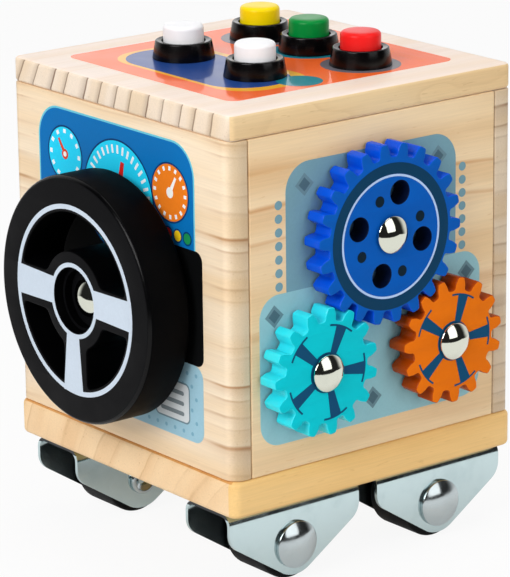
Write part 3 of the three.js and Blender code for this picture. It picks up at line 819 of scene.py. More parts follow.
# %% Plastic and metal materials
def plastic(name, code, dull_code, gloss, unevenness, shine=0.5, ripple=0.03):
    """A moulded plastic: its colour and its worn colour, its roughness and how much that changes, its
    specular level, and the depth of its ripple in millimetres."""
    made, tree, shader = new_material(name)
    values = {"Color": colour(code), "Dull Color": colour(dull_code)}
    values |= {"Vector": millimetres(tree), "Gloss": gloss, "Unevenness": unevenness}
    surface = use_group(tree, handled, values)
    tree.links.new(surface["Color"], shader.inputs["Base Color"])
    tree.links.new(surface["Roughness"], shader.inputs["Roughness"])
    tree.links.new(bumped(tree, surface["Height"], 0.3, ripple * MM), shader.inputs["Normal"])
    shader.inputs["Specular IOR Level"].default_value = shine
    return made


def metal(name, code, dull_code, gloss, unevenness):
    """A plated metal, with the same values as a plastic."""
    made = plastic(name, code, dull_code, gloss, unevenness, ripple=0.02)
    made.node_tree.nodes["Principled BSDF"].inputs["Metallic"].default_value = 1.0
    return made


nickel = metal("bright nickel", "DADCCE", "CDD0C4", 0.06, 0.03)
zinc = metal("zinc plated sheet", "C6D8DA", "B2C6C9", 0.13, 0.08)
# Painted shade: a dark steel for the ends of the housings' web, which the base shades.
painted_shade_zinc = metal("sheet edge painted as shade", "4A4D50", "3C3F42", 0.4, 0.1)
rivet_zinc = metal("zinc plated rivet", "BFC8CA", "AAB4B7", 0.14, 0.08)
steel = metal("plain steel", "A5A7A8", "8E9091", 0.35, 0.12)
roller_plastic = plastic("black roller", "0A0A0B", "111112", 0.5, 0.1, 0.1)
spacer_plastic = plastic("white nylon", "D8D8D2", "C9C9C2", 0.5, 0.1, 0.3)
print("plastic and metal so far:", roller_plastic.name, "to", nickel.name)

# %% [markdown]
# ## Steering wheel
# The wheel is one moulding: a thick rim, three spokes and a hub. Seen flat it is a disc with three
# windows, so it is a plate whose outer edge is rounded far more than the windows' edges. A window is
# two arcs joined by the straight sides of two spokes, and its four corners are bent.

# %% Windows of the wheel
WHEEL_WINDOW_RADIUS = 26.3
WHEEL_HUB_RADIUS = 14.7
WHEEL_SPOKE_ABOVE = 6.5
WHEEL_SPOKE_BELOW = 5.5
WHEEL_FOOT_HALF = 5.6
WHEEL_CORNER = 1.8
STEPS_PER_RADIAN = 26


def wheel_window(start, start_half, end, end_half):
    """A window between two spokes' middle lines: two arcs and two straight sides, with bent corners. A
    spoke's side lies half its width from its middle line, so it meets a circle at arcsin(half / radius)
    from that line."""

    def corner(radius, side):
        """Angle and place where a spoke's side meets a circle, at the start (-1) or the end (1)."""
        half = start_half if side < 0 else end_half
        turn = (start if side < 0 else end) - side * math.asin(half / radius)
        return turn, radius * np.array([math.cos(turn), math.sin(turn)])

    def window_arc(radius):
        """The arc between two corners, short of both by the corner size."""
        step = WHEEL_CORNER / radius
        first, last = corner(radius, -1)[0] + step, corner(radius, 1)[0] - step
        return arc(0, 0, radius, first, last, int(STEPS_PER_RADIAN * (end - start)))

    def rounded(radius, side, from_arc, other):
        """The bend from an arc's end into the spoke's side."""
        tip, far = corner(radius, side)[1], corner(other, side)[1]
        on_spoke = tip + (far - tip) * WHEEL_CORNER / np.linalg.norm(far - tip)
        return bend(from_arc, tip, on_spoke)

    rim, hub = WHEEL_WINDOW_RADIUS, WHEEL_HUB_RADIUS
    outer, inner = window_arc(rim), window_arc(hub)
    return np.concatenate(
        [
            outer[:-1],
            rounded(rim, 1, outer[-1], hub),
            rounded(hub, 1, inner[-1], rim)[::-1],
            inner[1:-1][::-1],
            rounded(hub, -1, inner[0], rim),
            rounded(rim, -1, outer[0], hub)[::-1][:-1],
        ]
    )


wheel_windows = [
    wheel_window(0, WHEEL_SPOKE_ABOVE, math.pi, WHEEL_SPOKE_ABOVE),
    wheel_window(math.pi, WHEEL_SPOKE_BELOW, 1.5 * math.pi, WHEEL_FOOT_HALF),
    wheel_window(1.5 * math.pi, WHEEL_FOOT_HALF, 2 * math.pi, WHEEL_SPOKE_BELOW),
]
print("windows of", [len(window) for window in wheel_windows], "points")

# %% [markdown]
# The stepped recess in the hub is a ring turned on the lathe. The wheel's black comes in three
# materials: a satin flat front painted a little lighter as lit, sides painted darker as shade, and a
# glossier rounded edge at the rim, where hands polish it.

# %% Steering wheel
WHEEL_EASE = 1.4
WINDOW_EASE = 0.4
PAINT_DEPTH = 0.08
WHEEL_MOUTH_RADIUS = 9.7
WHEEL_MOUTH_DEPTH = 3.0
WHEEL_SOCKET_RADIUS = 8.7
WHEEL_SOCKET_DEPTH = 5.5
WHEEL_BORE = 3.2
RIM_BAND = 2
FRONT_FACING, EDGE_FACING = 0.95, 0.3

wheel_radius = (wheel_high[0] - wheel_low[0]) / 2
wheel_width = wheel_high[1] - wheel_low[1] - PAINT_DEPTH
wheel_back = np.array([wheel_centre[0], wheel_high[1], wheel_centre[2]])
mouth, socket = wheel_width - WHEEL_MOUTH_DEPTH, wheel_width - WHEEL_SOCKET_DEPTH

wheel_loops = [circle(0, 0, wheel_radius, 160)]
wheel_loops += [window[::-1] for window in wheel_windows]
wheel_loops += [circle(0, 0, WHEEL_MOUTH_RADIUS, 96, hole=True)]
rim_and_spokes = plate(wheel_loops, wheel_width, [WHEEL_EASE] + [WINDOW_EASE] * 4)
hub = turned(
    [
        (WHEEL_BORE, 0),
        (WHEEL_MOUTH_RADIUS, 0),
        (WHEEL_MOUTH_RADIUS, mouth),
        (WHEEL_SOCKET_RADIUS, mouth),
        (WHEEL_SOCKET_RADIUS, socket),
        (WHEEL_BORE, socket),
    ],
    closed=True,
)
wheel_flat = np.concatenate([rim_and_spokes[2], np.zeros(len(hub[1][0]), bool)])


def wheel_faces(normals, centres):
    """The wheel's flat front, painted lighter as lit, is 0, its sides, painted darker as shade, are 1,
    and the rounded edge at its rim is 2.
    """
    out = np.hypot(*(centres - wheel_back)[:, [0, 2]].T) > wheel_radius - RIM_BAND
    front = -normals[:, 1]
    return np.where(front > FRONT_FACING, 0, np.where(out & (front > EDGE_FACING), 2, 1))


# The front and the sides are lit and shaded copies of one black: painted light on the front, painted
# shade on the sides.
wheel_materials = [
    plastic("satin black wheel face, painted lit", "0D0D0F", "121214", 0.5, 0.08, 0.06),
    plastic("satin black wheel side, painted shade", "030304", "060607", 0.5, 0.08, 0.03),
    plastic("satin black wheel edge", "050506", "08080A", 0.2, 0.12, 0.15),
]
points, faces = joined(rim_and_spokes[:2], hub)
piece(
    "wheel_moulding", along_minus_y(points) + wheel_back, faces, wheel_materials, "steering_wheel",
    ["steering_wheel"], wheel_flat, wheel_faces,
)
print("wheel:", len(wheel_flat), "faces, radius", round(wheel_radius, 2), "mm")

# %% [markdown]
# ## Gears
# A gear tooth has an involute flank: the curve that the end of a taut string draws as it unwinds from
# the base circle. Two such flanks roll on each other at a steady speed. The tips are rounded and the
# roots filleted, as on a toy that small fingers turn.

# %% Outline of a gear
GEAR_MODULE = 2.38
PRESSURE_ANGLE = math.radians(25)
TIP_ROUND = 0.6
ROOT_FILLET = 0.85
BIG_TEETH, SMALL_TEETH = 22, 15
BIG_FORM = {"teeth": BIG_TEETH, "tip": 26.8, "root": 22.9, "width": 2.85}
SMALL_FORM = {"teeth": SMALL_TEETH, "tip": 19.15, "root": 15.3, "width": 3.4}
BIG_PHASE = math.radians(13.4)


def involute(angle):
    """How far an involute has turned where the pressure angle is this: its tangent less itself."""
    return np.tan(angle) - angle


def gear_outline(form, phase):
    """One tooth's half width, as an angle, for a row of radii from root to tip; the tooth is that row
    on both sides of its middle line, and the gear is the tooth turned round the axis."""
    pitch = GEAR_MODULE * form["teeth"] / 2
    base = pitch * math.cos(PRESSURE_ANGLE)

    def half_at(radius):
        """Half the tooth's angle: at the pitch circle width / 2 / pitch, more below it, less above."""
        roll = np.arccos(np.minimum(1, base / radius))
        return form["width"] / 2 / pitch + involute(PRESSURE_ANGLE) - involute(roll)

    quarter = np.linspace(0, math.pi / 2, 5)
    flank_end = form["tip"] - TIP_ROUND
    fillet_radius = form["root"] + (base - form["root"]) * (1 - np.cos(quarter[:-1]))
    fillet_half = half_at(base) + ROOT_FILLET / form["root"] * (1 - np.sin(quarter[:-1]))
    flank_radius = np.linspace(base, flank_end, 6)
    tip_half = half_at(form["tip"]) - TIP_ROUND / form["tip"]
    tip_radius = flank_end + TIP_ROUND * np.sin(quarter[1:])
    tip_half = tip_half + (half_at(flank_end) - tip_half) * np.cos(quarter[1:])
    radius = np.concatenate([fillet_radius, flank_radius, tip_radius])
    half = np.concatenate([fillet_half, half_at(flank_radius), tip_half])
    radius = np.concatenate([radius, radius[::-1]])
    offset = np.concatenate([-half, half[::-1]])
    turn = phase + np.arange(form["teeth"])[:, None] * 2 * math.pi / form["teeth"] + offset
    return np.stack([radius * np.cos(turn), radius * np.sin(turn)], axis=2).reshape(-1, 2)


def meshed_phase(line_angle):
    """Turn of a small gear whose gap meets the big gear's tooth on the line between their centres."""
    past = (BIG_PHASE - line_angle) / (2 * math.pi / BIG_TEETH)
    return line_angle + math.pi + (0.5 - past) * 2 * math.pi / SMALL_TEETH


print("teeth:", BIG_TEETH, "and", SMALL_TEETH, "of module", GEAR_MODULE, "mm")

# %% [markdown]
# A gear has two finishes: moulded plastic on its flanks and a flatter coat on its front. The walls of
# its round holes are painted dark as shade, where little light comes in.

# %% Gears
GEAR_EASE = 0.35
GEAR_BORE = 2.7
SPREAD = math.radians(33.2)
BIG_HOLE_COUNT = 4
BIG_HOLE_RADIUS = 3.5
BIG_HOLE_CIRCLE = 12.4
BIG_HOLE_PHASE = math.radians(74)
HOLES_WITHIN = 3
GEAR_FACING = 0.9
DOWN = 1.5 * math.pi

gear_fronts = {}


def gear(name, form, phase, materials, holes=()):
    """A gear plate in the CAD gear's place, with its bore and its round holes. Its materials are for the
    moulded flanks, the painted front and the walls of the holes, which are painted dark as shade."""
    low, high = node_box(name)
    centre = sum(node_box(f"{name}_bolt")) / 2
    gear_fronts[name] = np.array([high[0], centre[1], centre[2]])
    back = np.array([low[0], centre[1], centre[2]])
    loops = [gear_outline(form, phase), circle(0, 0, GEAR_BORE, 48, hole=True), *holes]
    points, faces, flat = plate(loops, high[0] - low[0], [GEAR_EASE] * len(loops), 3)

    def gear_faces(normals, centres):
        """The flanks and the back are 0, the front is 1, and the walls of the holes, painted dark as
        shade, are 2.
        """
        in_hole = np.hypot(*(centres - back)[:, 1:].T) < form["root"] - HOLES_WITHIN
        wall = in_hole & (np.abs(normals[:, 0]) < GEAR_FACING)
        return np.where(normals[:, 0] > GEAR_FACING, 1, np.where(wall, 2, 0))

    points = along_x(points) + back
    piece(f"{name}_teeth", points, faces, materials, name, [name], flat, gear_faces)
    print(name, len(flat), "faces")


# Painted shade: a dark navy on the walls of the holes.
hole_painted_shade = plastic("painted shade in holes", "03102F", "04143A", 0.5, 0.08, 0.1)
big_materials = [
    plastic("blue gear", "0450D2", "0A56D8", 0.17, 0.06, 0.2),
    plastic("blue gear face", "0458B4", "0660BC", 0.55, 0.06, 0.06),
    hole_painted_shade,
]
teal_materials = [
    plastic("teal gear", "2ADCEA", "3EE2EE", 0.17, 0.06, 0.4),
    plastic("teal gear face", "04C6D3", "0CCBD6", 0.55, 0.06, 0.06),
    hole_painted_shade,
]
orange_materials = [
    plastic("orange gear", "AC4206", "B44C0C", 0.17, 0.06, 0.14),
    plastic("orange gear face", "E6720B", "EA7A12", 0.55, 0.06, 0.06),
    hole_painted_shade,
]
hole_turns = BIG_HOLE_PHASE + np.arange(BIG_HOLE_COUNT) * math.pi / 2
hole_x, hole_y = BIG_HOLE_CIRCLE * np.cos(hole_turns), BIG_HOLE_CIRCLE * np.sin(hole_turns)
big_holes = [circle(x, y, BIG_HOLE_RADIUS, 40, hole=True) for x, y in zip(hole_x, hole_y)]
gear("big_gear", BIG_FORM, BIG_PHASE, big_materials, big_holes)
gear("teal_gear", SMALL_FORM, meshed_phase(DOWN - SPREAD), teal_materials)
gear("orange_gear", SMALL_FORM, meshed_phase(DOWN + SPREAD), orange_materials)

# %% [markdown]
# ## Domed bolts
# Polished nickel domes hold the wheel and the gears. A dome is part of a ball whose rim is rounded, so
# its profile is a big arc and a small one that touch. It is turned very finely, because a mirror
# shows every facet.

# %% Domed bolts
DOME_EDGE = 0.6
DOME_HEIGHT = 2.9
DOME_FACETS = 128
EDGE_START = -0.2 * math.pi
WHEEL_SHANK, GEAR_SHANK = 3.0, 2.5


def dome_profile(radius, rim, edge, height, steps=20):
    """Two touching arcs, from under the widest point to the top: a small one, of radius edge about a
    point at the height rim, and a part of a big ball whose centre is on the axis."""
    drop = height - rim
    ball = ((radius - edge) ** 2 + drop**2 - edge**2) / (2 * (drop - edge))
    centre = height - ball
    meet = math.atan2(rim - centre, radius - edge)
    small = arc(radius - edge, rim, edge, EDGE_START, meet, 8)
    big = arc(0, centre, ball, meet, math.pi / 2, steps)[1:]
    big[-1, 0] = 0
    return [tuple(p) for p in np.concatenate([small, big])]


def domed_bolt(name, node, lay, shank_radius):
    """Head and shank in one turned piece; lay lays it along the bolt's own axis."""
    low, high = node_box(node)
    axis = 0 if lay is along_x else 1
    length = high[axis] - low[axis] - DOME_HEIGHT
    radius = (high[2] - low[2]) / 2
    seat = (low + high) / 2
    seat[axis] = high[0] - DOME_HEIGHT if axis == 0 else low[1] + DOME_HEIGHT
    profile = [
        (0, -length),
        (shank_radius, -length),
        (shank_radius, 0),
        (radius - DOME_EDGE, 0),
        *dome_profile(radius, DOME_EDGE, DOME_EDGE, DOME_HEIGHT),
    ]
    points, faces = turned(profile, DOME_FACETS)
    piece(name, lay(points) + seat, faces, [nickel], "body", [node])


domed_bolt("wheel_dome_bolt", "steering_bolt", along_minus_y, WHEEL_SHANK)
for gear_name in gear_fronts:
    domed_bolt(f"{gear_name}_dome_bolt", f"{gear_name}_bolt", along_x, GEAR_SHANK)

# %% [markdown]
# ## Push buttons
# A push button is a black body with a tapered bezel, and a coloured cap that stands up out of it. Both
# are turned. The bezel's top dips a little from its rim to its mouth, and below it the barrel is a cup.

# %% Bezel and barrel
BEZEL_HEIGHT = 5.5
BEZEL_BASE_RADIUS = 9.4
BEZEL_TOP_RADIUS = 8.55
BEZEL_FOOT_ROUND = 0.3
BEZEL_RIM_ROUND = 0.5
BEZEL_DISH = (0.9, 0.12)
BEZEL_MOUTH = 6.6
BEZEL_MOUTH_ROUND = 0.2
BEZEL_MOUTH_DROP = 0.35
BEZEL_LIP = 2.5
BARREL_RADIUS = 8.0
BARREL_BORE = 7.3
BARREL_LENGTH = 18.0
BARREL_FLOOR = 1.5

foot, rim, mouth = BEZEL_FOOT_ROUND, BEZEL_RIM_ROUND, BEZEL_MOUTH_ROUND
bezel_points, bezel_faces = turned(
    [
        (0, -BARREL_LENGTH),
        (BARREL_RADIUS, -BARREL_LENGTH),
        (BARREL_RADIUS, 0),
        *rounding(BEZEL_BASE_RADIUS - foot, foot, foot, -0.5, 0, 4),
        *rounding(BEZEL_TOP_RADIUS - rim, BEZEL_HEIGHT - rim, rim, 0, 0.5),
        (BEZEL_TOP_RADIUS - BEZEL_DISH[0], BEZEL_HEIGHT - BEZEL_DISH[1]),
        *rounding(BEZEL_MOUTH + mouth, BEZEL_HEIGHT - BEZEL_MOUTH_DROP, mouth, 0.5, 1, 3),
        (BEZEL_MOUTH, BEZEL_HEIGHT - BEZEL_LIP),
        (BARREL_BORE, BEZEL_HEIGHT - BEZEL_LIP),
        (BARREL_BORE, BARREL_FLOOR - BARREL_LENGTH),
        (0, BARREL_FLOOR - BARREL_LENGTH),
    ]
)
bezel_plastic = plastic("gloss black bezel", "050506", "08080A", 0.2, 0.06, 0.25)
print("bezel:", len(bezel_points), "points")

# %% [markdown]
# The cap has a flange that stops it under the bezel's lip, and a short stem that the spring surrounds.

# %% Cap
CAP_RADIUS = 6.1
CAP_TOP = 10.3
CAP_ROUND = 1.3
CAP_CROWN = (0.45, 0.02)
CAP_FLANGE = 7.0
CAP_FLANGE_HEIGHT = 1.2
CAP_STEM = 3.4
CAP_STEM_FOOT = 3.6
CAP_GAP = 0.3

flange_top = BEZEL_HEIGHT - BEZEL_LIP - CAP_GAP
flange_low, stem_low = flange_top - CAP_FLANGE_HEIGHT, flange_top - CAP_STEM_FOOT
cap_points, cap_faces = turned(
    [
        (0, stem_low),
        (CAP_STEM, stem_low),
        (CAP_STEM, flange_low),
        (CAP_FLANGE, flange_low),
        (CAP_FLANGE, flange_top),
        (CAP_RADIUS, flange_top),
        *rounding(CAP_RADIUS - CAP_ROUND, CAP_TOP - CAP_ROUND, CAP_ROUND, 0, 0.45, 8),
        (CAP_RADIUS * CAP_CROWN[0], CAP_TOP - CAP_CROWN[1]),
        (0, CAP_TOP),
    ]
)
white_cap = plastic("white cap", "F4F4F6", "EFEFF2", 0.34, 0.04, 0.3)
cap_plastics = {
    "white_left": white_cap,
    "white_right": white_cap,
    "yellow": plastic("yellow cap", "FADC00", "F5D400", 0.3, 0.04, 0.16),
    "green": plastic("green cap", "008A3A", "028238", 0.3, 0.04, 0.16),
    "red": plastic("red cap", "F0201F", "E92222", 0.3, 0.04, 0.16),
}
print("cap:", len(cap_points), "points")

# %% [markdown]
# Inside, a coil spring lifts the cap.

# %% Springs, bezels and caps in their places
SPRING_WIRE = 0.4
SPRING_TURNS = 3


def coil(low, high, steps=40, sides=12):
    """A spring that fills a box: at every step of the helix a small circle stands across the wire,
    spanned by the direction away from the axis and the one at right angles to it and to the wire."""
    radius = (high[0] - low[0]) / 2 - SPRING_WIRE
    turn = np.arange(SPRING_TURNS * steps + 1) * 2 * math.pi / steps
    rise = (high[2] - low[2] - 2 * SPRING_WIRE) / turn[-1]
    away = np.stack([np.cos(turn), np.sin(turn), 0 * turn], axis=1)
    middle = radius * away + np.outer(SPRING_WIRE + rise * turn, [0, 0, 1])
    along = np.stack([-radius * np.sin(turn), radius * np.cos(turn), rise + 0 * turn], axis=1)
    along /= np.linalg.norm(along, axis=1, keepdims=True)
    down = np.cross(along, away)
    ring = np.arange(sides) * 2 * math.pi / sides
    circles = np.cos(ring)[:, None] * away[:, None] + np.sin(ring)[:, None] * down[:, None]
    body = (middle[:, None] + SPRING_WIRE * circles).reshape(-1, 3)
    start = fan_faces(len(body), 0, sides, down=True)
    end = fan_faces(len(body) + 1, len(body) - sides, sides)
    return np.concatenate([body, middle[:1], middle[-1:]]), [grid_faces(sides, len(turn)), start, end]


for button, place in button_places.items():
    low, high = node_box(f"button_spring_{button}")
    foot = np.array([place[0], place[1], low[2]])
    points, faces = coil(low, high)
    spring = piece(
        f"spring_{button}", points + foot, faces, [steel], "body",
        [f"button_spring_{button}"],
    )
    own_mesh(spring)
    spot = np.array([place[0], place[1], top_z])
    piece(
        f"bezel_{button}", bezel_points + spot, bezel_faces, [bezel_plastic], "body",
        [f"button_bezel_{button}"],
    )
    piece(
        f"cap_{button}", cap_points + spot, cap_faces, [cap_plastics[button]], f"cap_{button}",
        [f"button_cap_{button}"],
    )
print("buttons at", {k: tuple(v[:2].round(1)) for k, v in button_places.items()})

# %% [markdown]
# ## Roller casters: the housing
# Each caster is a sheet folded down into two cheeks, a roller between them and a rivet through both.
# The sheet is one closed section, a thin upside-down U, carried along the caster. At each station the
# cheeks end where the side view's outline says: a rounded corner, a slanted edge, and a round tip
# about the axle.

# %% Side view of a caster's cheek
CHEEK_CORNER_RADIUS = 6.0
CHEEK_CORNER_DROP = 6.2
CHEEK_TIP_RADIUS = 9.5
AXLE_DROP = 14.0


def cheek_edge(half_length):
    """Places along the caster and the cheeks' depth there: corner arc, slanted line, tip arc. The line
    touches both arcs, and lean is the angle at which it does."""
    reach = half_length - CHEEK_CORNER_RADIUS
    rise = AXLE_DROP - CHEEK_CORNER_DROP
    narrowing = math.acos((CHEEK_TIP_RADIUS - CHEEK_CORNER_RADIUS) / math.hypot(reach, rise))
    lean = narrowing - math.atan2(rise, reach)
    corner = (-CHEEK_CORNER_DROP, CHEEK_CORNER_RADIUS)
    left = arc(-reach, *corner, math.pi, math.pi + lean, 14)
    tip = arc(0, -AXLE_DROP, CHEEK_TIP_RADIUS, math.pi + lean, 2 * math.pi - lean, 28)
    right = arc(reach, *corner, 2 * math.pi - lean, 2 * math.pi, 14)
    return np.concatenate([left, tip, right])


print("cheek:", len(cheek_edge(20)), "stations along its edge")

# %% [markdown]
# The sheet's two bends are quarter circles, a larger one outside and a smaller one inside. A fine bevel
# softens the cut edges, and the ends of the web between the cheeks are painted dark, as the shade under
# the base.

# %% Caster housing
SHEET = 1.1
BEND_RADIUS = 3.7
CUT_EDGE = 0.2
CUT_ANGLE = math.radians(40)
WEB_END = 1.6
END_FACING = 0.9


def fold(bend_x, radius, start, end, steps):
    """The two bends of the sheet, from the angle start at one to the angle end at the other."""
    side = -1 if start > end else 1
    first = arc(side * bend_x, -BEND_RADIUS, radius, start, math.pi / 2, steps)
    second = arc(-side * bend_x, -BEND_RADIUS, radius, math.pi / 2, end, steps)
    return np.concatenate([first, second])


def housing(half_width, half_length):
    """The folded sheet: a closed section at every station of the cheek's edge, and two ends."""
    edge = cheek_edge(half_length)
    bend_x, inner = half_width - BEND_RADIUS, half_width - SHEET
    outside = fold(bend_x, BEND_RADIUS, math.pi, 0, 8)
    inside = fold(bend_x, BEND_RADIUS - SHEET, 0, math.pi, 5)

    def section(depth):
        """The sheet's closed outline where its cheeks reach down to a depth."""
        ends = np.array([[half_width, depth], [inner, depth]])
        return np.concatenate([[[-half_width, depth]], outside, ends, inside, [[-inner, depth]]])

    sections = np.stack([section(depth) for _, depth in edge])
    count, size = sections.shape[:2]
    along = np.broadcast_to(edge[:, 0][:, None], (count, size))
    points = np.stack([sections[..., 0], along, sections[..., 1]], axis=2).reshape(-1, 3)
    end = filling([sections[0]])
    return points, [grid_faces(size, count), end, end[:, ::-1] + (count - 1) * size]


def add_housing(place, under, half_width, half_length):
    """The housing of one caster, hung under the base."""

    def painted_shade_ends(normals, centres):
        """The end faces of the web, painted dark as shade, are 1, and the rest is 0."""
        return (np.abs(normals[:, 1]) > END_FACING) & (centres[:, 2] > under[2] - WEB_END)

    points, faces = housing(half_width, half_length)
    made = piece(
        f"housing_{place}", points + under, faces, [zinc, painted_shade_zinc], "body",
        [f"caster_housing_{place}"], face_material=painted_shade_ends,
    )
    bevel = made.modifiers.new("soft edges", "BEVEL")
    bevel.width = CUT_EDGE * MM
    bevel.segments = 2
    bevel.angle_limit = CUT_ANGLE


print("housing of sheet", SHEET, "mm thick")

# %% [markdown]
# ## Roller casters: rivet and roller
# The rivet is turned in one piece. It has a domed head on the outside and a rolled tail with a hole
# in it on the inside.

# %% Rivet
AXLE_RADIUS = 3.0
HEAD_RADIUS = 7.2
HEAD_SIDE = 1.3
HEAD_CROWN = 1.8
HEAD_EDGE = 0.4
HEAD_CHAMFER = 0.2
UNDER_HEAD = 4
TAIL_RADIUS = 4.7
TAIL_HEIGHT = 1.7
TAIL_HOLE = 2.0
TAIL_HOLE_DEPTH = 3.4


def add_rivet(place, axle, half_width, facing):
    """The rivet of one caster; facing is 1 where its head faces +X and -1 where it faces -X."""
    rim = half_width + HEAD_SIDE
    tail = -half_width - TAIL_HEIGHT
    roll = TAIL_HEIGHT / 2
    head = dome_profile(HEAD_RADIUS, rim - HEAD_EDGE, HEAD_EDGE, rim + HEAD_CROWN)
    points, faces = turned(
        [
            (0, tail + TAIL_HOLE_DEPTH),
            (TAIL_HOLE, tail + TAIL_HOLE_DEPTH),
            (TAIL_HOLE, tail + roll),
            *rounding(TAIL_RADIUS - roll, tail + roll, roll, -0.75, 0.5, 10),
            (AXLE_RADIUS, -half_width),
            (AXLE_RADIUS, half_width),
            (HEAD_RADIUS - HEAD_CHAMFER, half_width),
            (HEAD_RADIUS, half_width + HEAD_CHAMFER),
            *head[UNDER_HEAD:],
        ]
    )
    laid = along_x(points) * np.array([facing, facing, 1])
    piece(
        f"rivet_{place}", laid + axle, faces, [rivet_zinc], "body",
        [f"caster_axle_rivet_{place}"],
    )


print("rivet head", HEAD_RADIUS, "mm, axle", AXLE_RADIUS, "mm in radius")

# %% [markdown]
# The roller is a plain drum with rounded edges, and it turns on the rivet.

# %% Roller
ROLLER_EDGE = 1.0
ROLLER_PLAY = 0.2


def add_roller(place, axle):
    """The roller of one caster, a ring about the rivet."""
    low, high = node_box(f"caster_roller_{place}")
    length = high[0] - low[0]
    edge, bore = ROLLER_EDGE, AXLE_RADIUS + ROLLER_PLAY
    reach = (high[2] - low[2]) / 2 - edge
    profile = [
        (bore, 0),
        *rounding(reach, edge, edge, -0.5, 0),
        *rounding(reach, length - edge, edge, 0, 0.5),
        (bore, length),
    ]
    points, faces = turned(profile, closed=True)
    points = along_x(points - np.array([0, 0, length / 2]))
    piece(
        f"roller_{place}", points + axle, faces, [roller_plastic], f"roller_{place}",
        [f"caster_roller_{place}"],
    )


print("roller with", ROLLER_PLAY, "mm of play round its axle")

# %% [markdown]
# ## Roller casters: screws
# Two wood screws hold each housing from inside. Only their heads show. A head is a shallow dome with a
# cross cut into it, so it is one height that depends on the place across the head.

# %% Screws, and the four casters in their places
SCREW_INSET = 5.5
SCREW_RADIUS = 3.4
SCREW_BALL = 3.45
SCREW_HEIGHT = 1.5
CROSS_HALF, CROSS_SLOPE = 0.42, 0.14
CROSS_REACH, CROSS_END = 1.9, 0.3
CROSS_DEPTH = 0.7


def screw_head(steps=48):
    """A shallow domed screw head with a cross: the height falls from the dome inside two crossing
    bars, and the head's edge is round. Its top looks down."""
    radius = np.linspace(0, SCREW_RADIUS, 26)
    turn = np.arange(steps) * 2 * math.pi / steps
    x, y = np.outer(radius, np.cos(turn)), np.outer(radius, np.sin(turn))
    dome = SCREW_HEIGHT * np.sqrt(np.clip(1 - (np.hypot(x, y) / SCREW_BALL) ** 2, 0, 1))
    across, along = np.minimum(np.abs(x), np.abs(y)), np.maximum(np.abs(x), np.abs(y))
    cross = np.clip((CROSS_HALF - across) / CROSS_SLOPE, 0, 1)
    cross = cross * np.clip((CROSS_REACH - along) / CROSS_END, 0, 1)
    height = dome - CROSS_DEPTH * cross
    rows = np.stack([x, y, -height], axis=2)[1:]
    points = np.concatenate([rows.reshape(-1, 3), [[0, 0, -height[0, 0]]], [[0, 0, 0]]])
    tip = fan_faces(len(points) - 2, 0, steps, down=True)
    back = fan_faces(len(points) - 1, (len(rows) - 1) * steps, steps)
    return points, [grid_faces(steps, len(rows)), tip, back]


def add_caster(place, facing):
    """One caster: housing, rivet, roller and two screws, placed by the CAD housing's box."""
    low, high = node_box(f"caster_housing_{place}")
    middle = (low + high) / 2
    half_width, half_length = ((high - low) / 2)[:2]
    under = np.array([middle[0], middle[1], high[2]])
    axle = under - np.array([0, 0, AXLE_DROP])
    add_housing(place, under, half_width, half_length)
    add_rivet(place, axle, half_width, facing)
    add_roller(place, axle)
    points, faces = screw_head()
    for end, side in ((-1, "front"), (1, "rear")):
        spot = under + np.array([0, end * (half_length - SCREW_INSET), -SHEET])
        piece(f"screw_{place}_{side}", points + spot, faces, [rivet_zinc], "body")


for row in ("front", "rear"):
    add_caster(f"{row}_right", 1)
    add_caster(f"{row}_left", -1)

# %% [markdown]
# ## Printed pictures
# The panels, the wheel and the gears carry flat printed shapes. Each print is a stack of paper-thin
# closed slabs, a few hundredths of a millimetre apart, whose ink is a colour attribute on the points.
# The prints here are plain gauges, stripes and dots of a generic kind, and a few shapes draw them all.


# %% Shapes for prints
def disc(x, y, radius, steps=64):
    """A round spot."""
    return [circle(x, y, radius, steps)]


def ring(x, y, inner, outer, steps=96):
    """A round spot with a round hole in its middle."""
    return [circle(x, y, outer, steps), circle(x, y, inner, steps, hole=True)]


def fan(x, y, inner, outer, start, end, steps=24):
    """A piece of a ring between two angles in degrees."""
    a, b = math.radians(start), math.radians(end)
    return [np.concatenate([arc(x, y, outer, a, b, steps), arc(x, y, inner, b, a, steps)])]


def block(x0, x1, y0, y1, radius=0.5, steps=8):
    """A rectangle with round corners."""
    return [rounded_box_outline((x0, y0), (x1, y1), [radius] * 4, steps)]


def ray(x, y, turn, inner, outer, width0, width1=None):
    """A straight stroke that points away from a place at an angle, from one distance to another: its
    four corners lie half its width to both sides of its ends."""
    way = np.array([math.cos(turn), math.sin(turn)])
    start, end = np.array([x, y]) + inner * way, np.array([x, y]) + outer * way
    side = np.array([end[1] - start[1], start[0] - end[0]]) / np.linalg.norm(end - start)
    here, there = side * width0 / 2, side * (width0 if width1 is None else width1) / 2
    return [np.array([start + here, end + there, end - there, start - here])]


print("print shapes:", [shape.__name__ for shape in (disc, ring, fan, block, ray)])

# %% [markdown]
# A print is one piece: its shapes are drawn flat, thickened, stacked by their levels and laid on their
# face. The ink is a little uneven, as screen print is: fine dots where the screen's mesh was, and soft
# clouds. The top's print has a thin gloss coat, and the others are satin.

# %% Ink
INK = 0.05
INK_STEP = 0.015
COAT_ROUGHNESS = 0.06


def anticlockwise(loop):
    """The loop, turned round if it runs clockwise: then the sum of x times the next y, less y times the
    next x, is below zero."""
    x, y = loop[:, 0], loop[:, 1]
    area = np.sum(x * np.roll(y, -1) - y * np.roll(x, -1))
    return loop if area > 0 else loop[::-1]


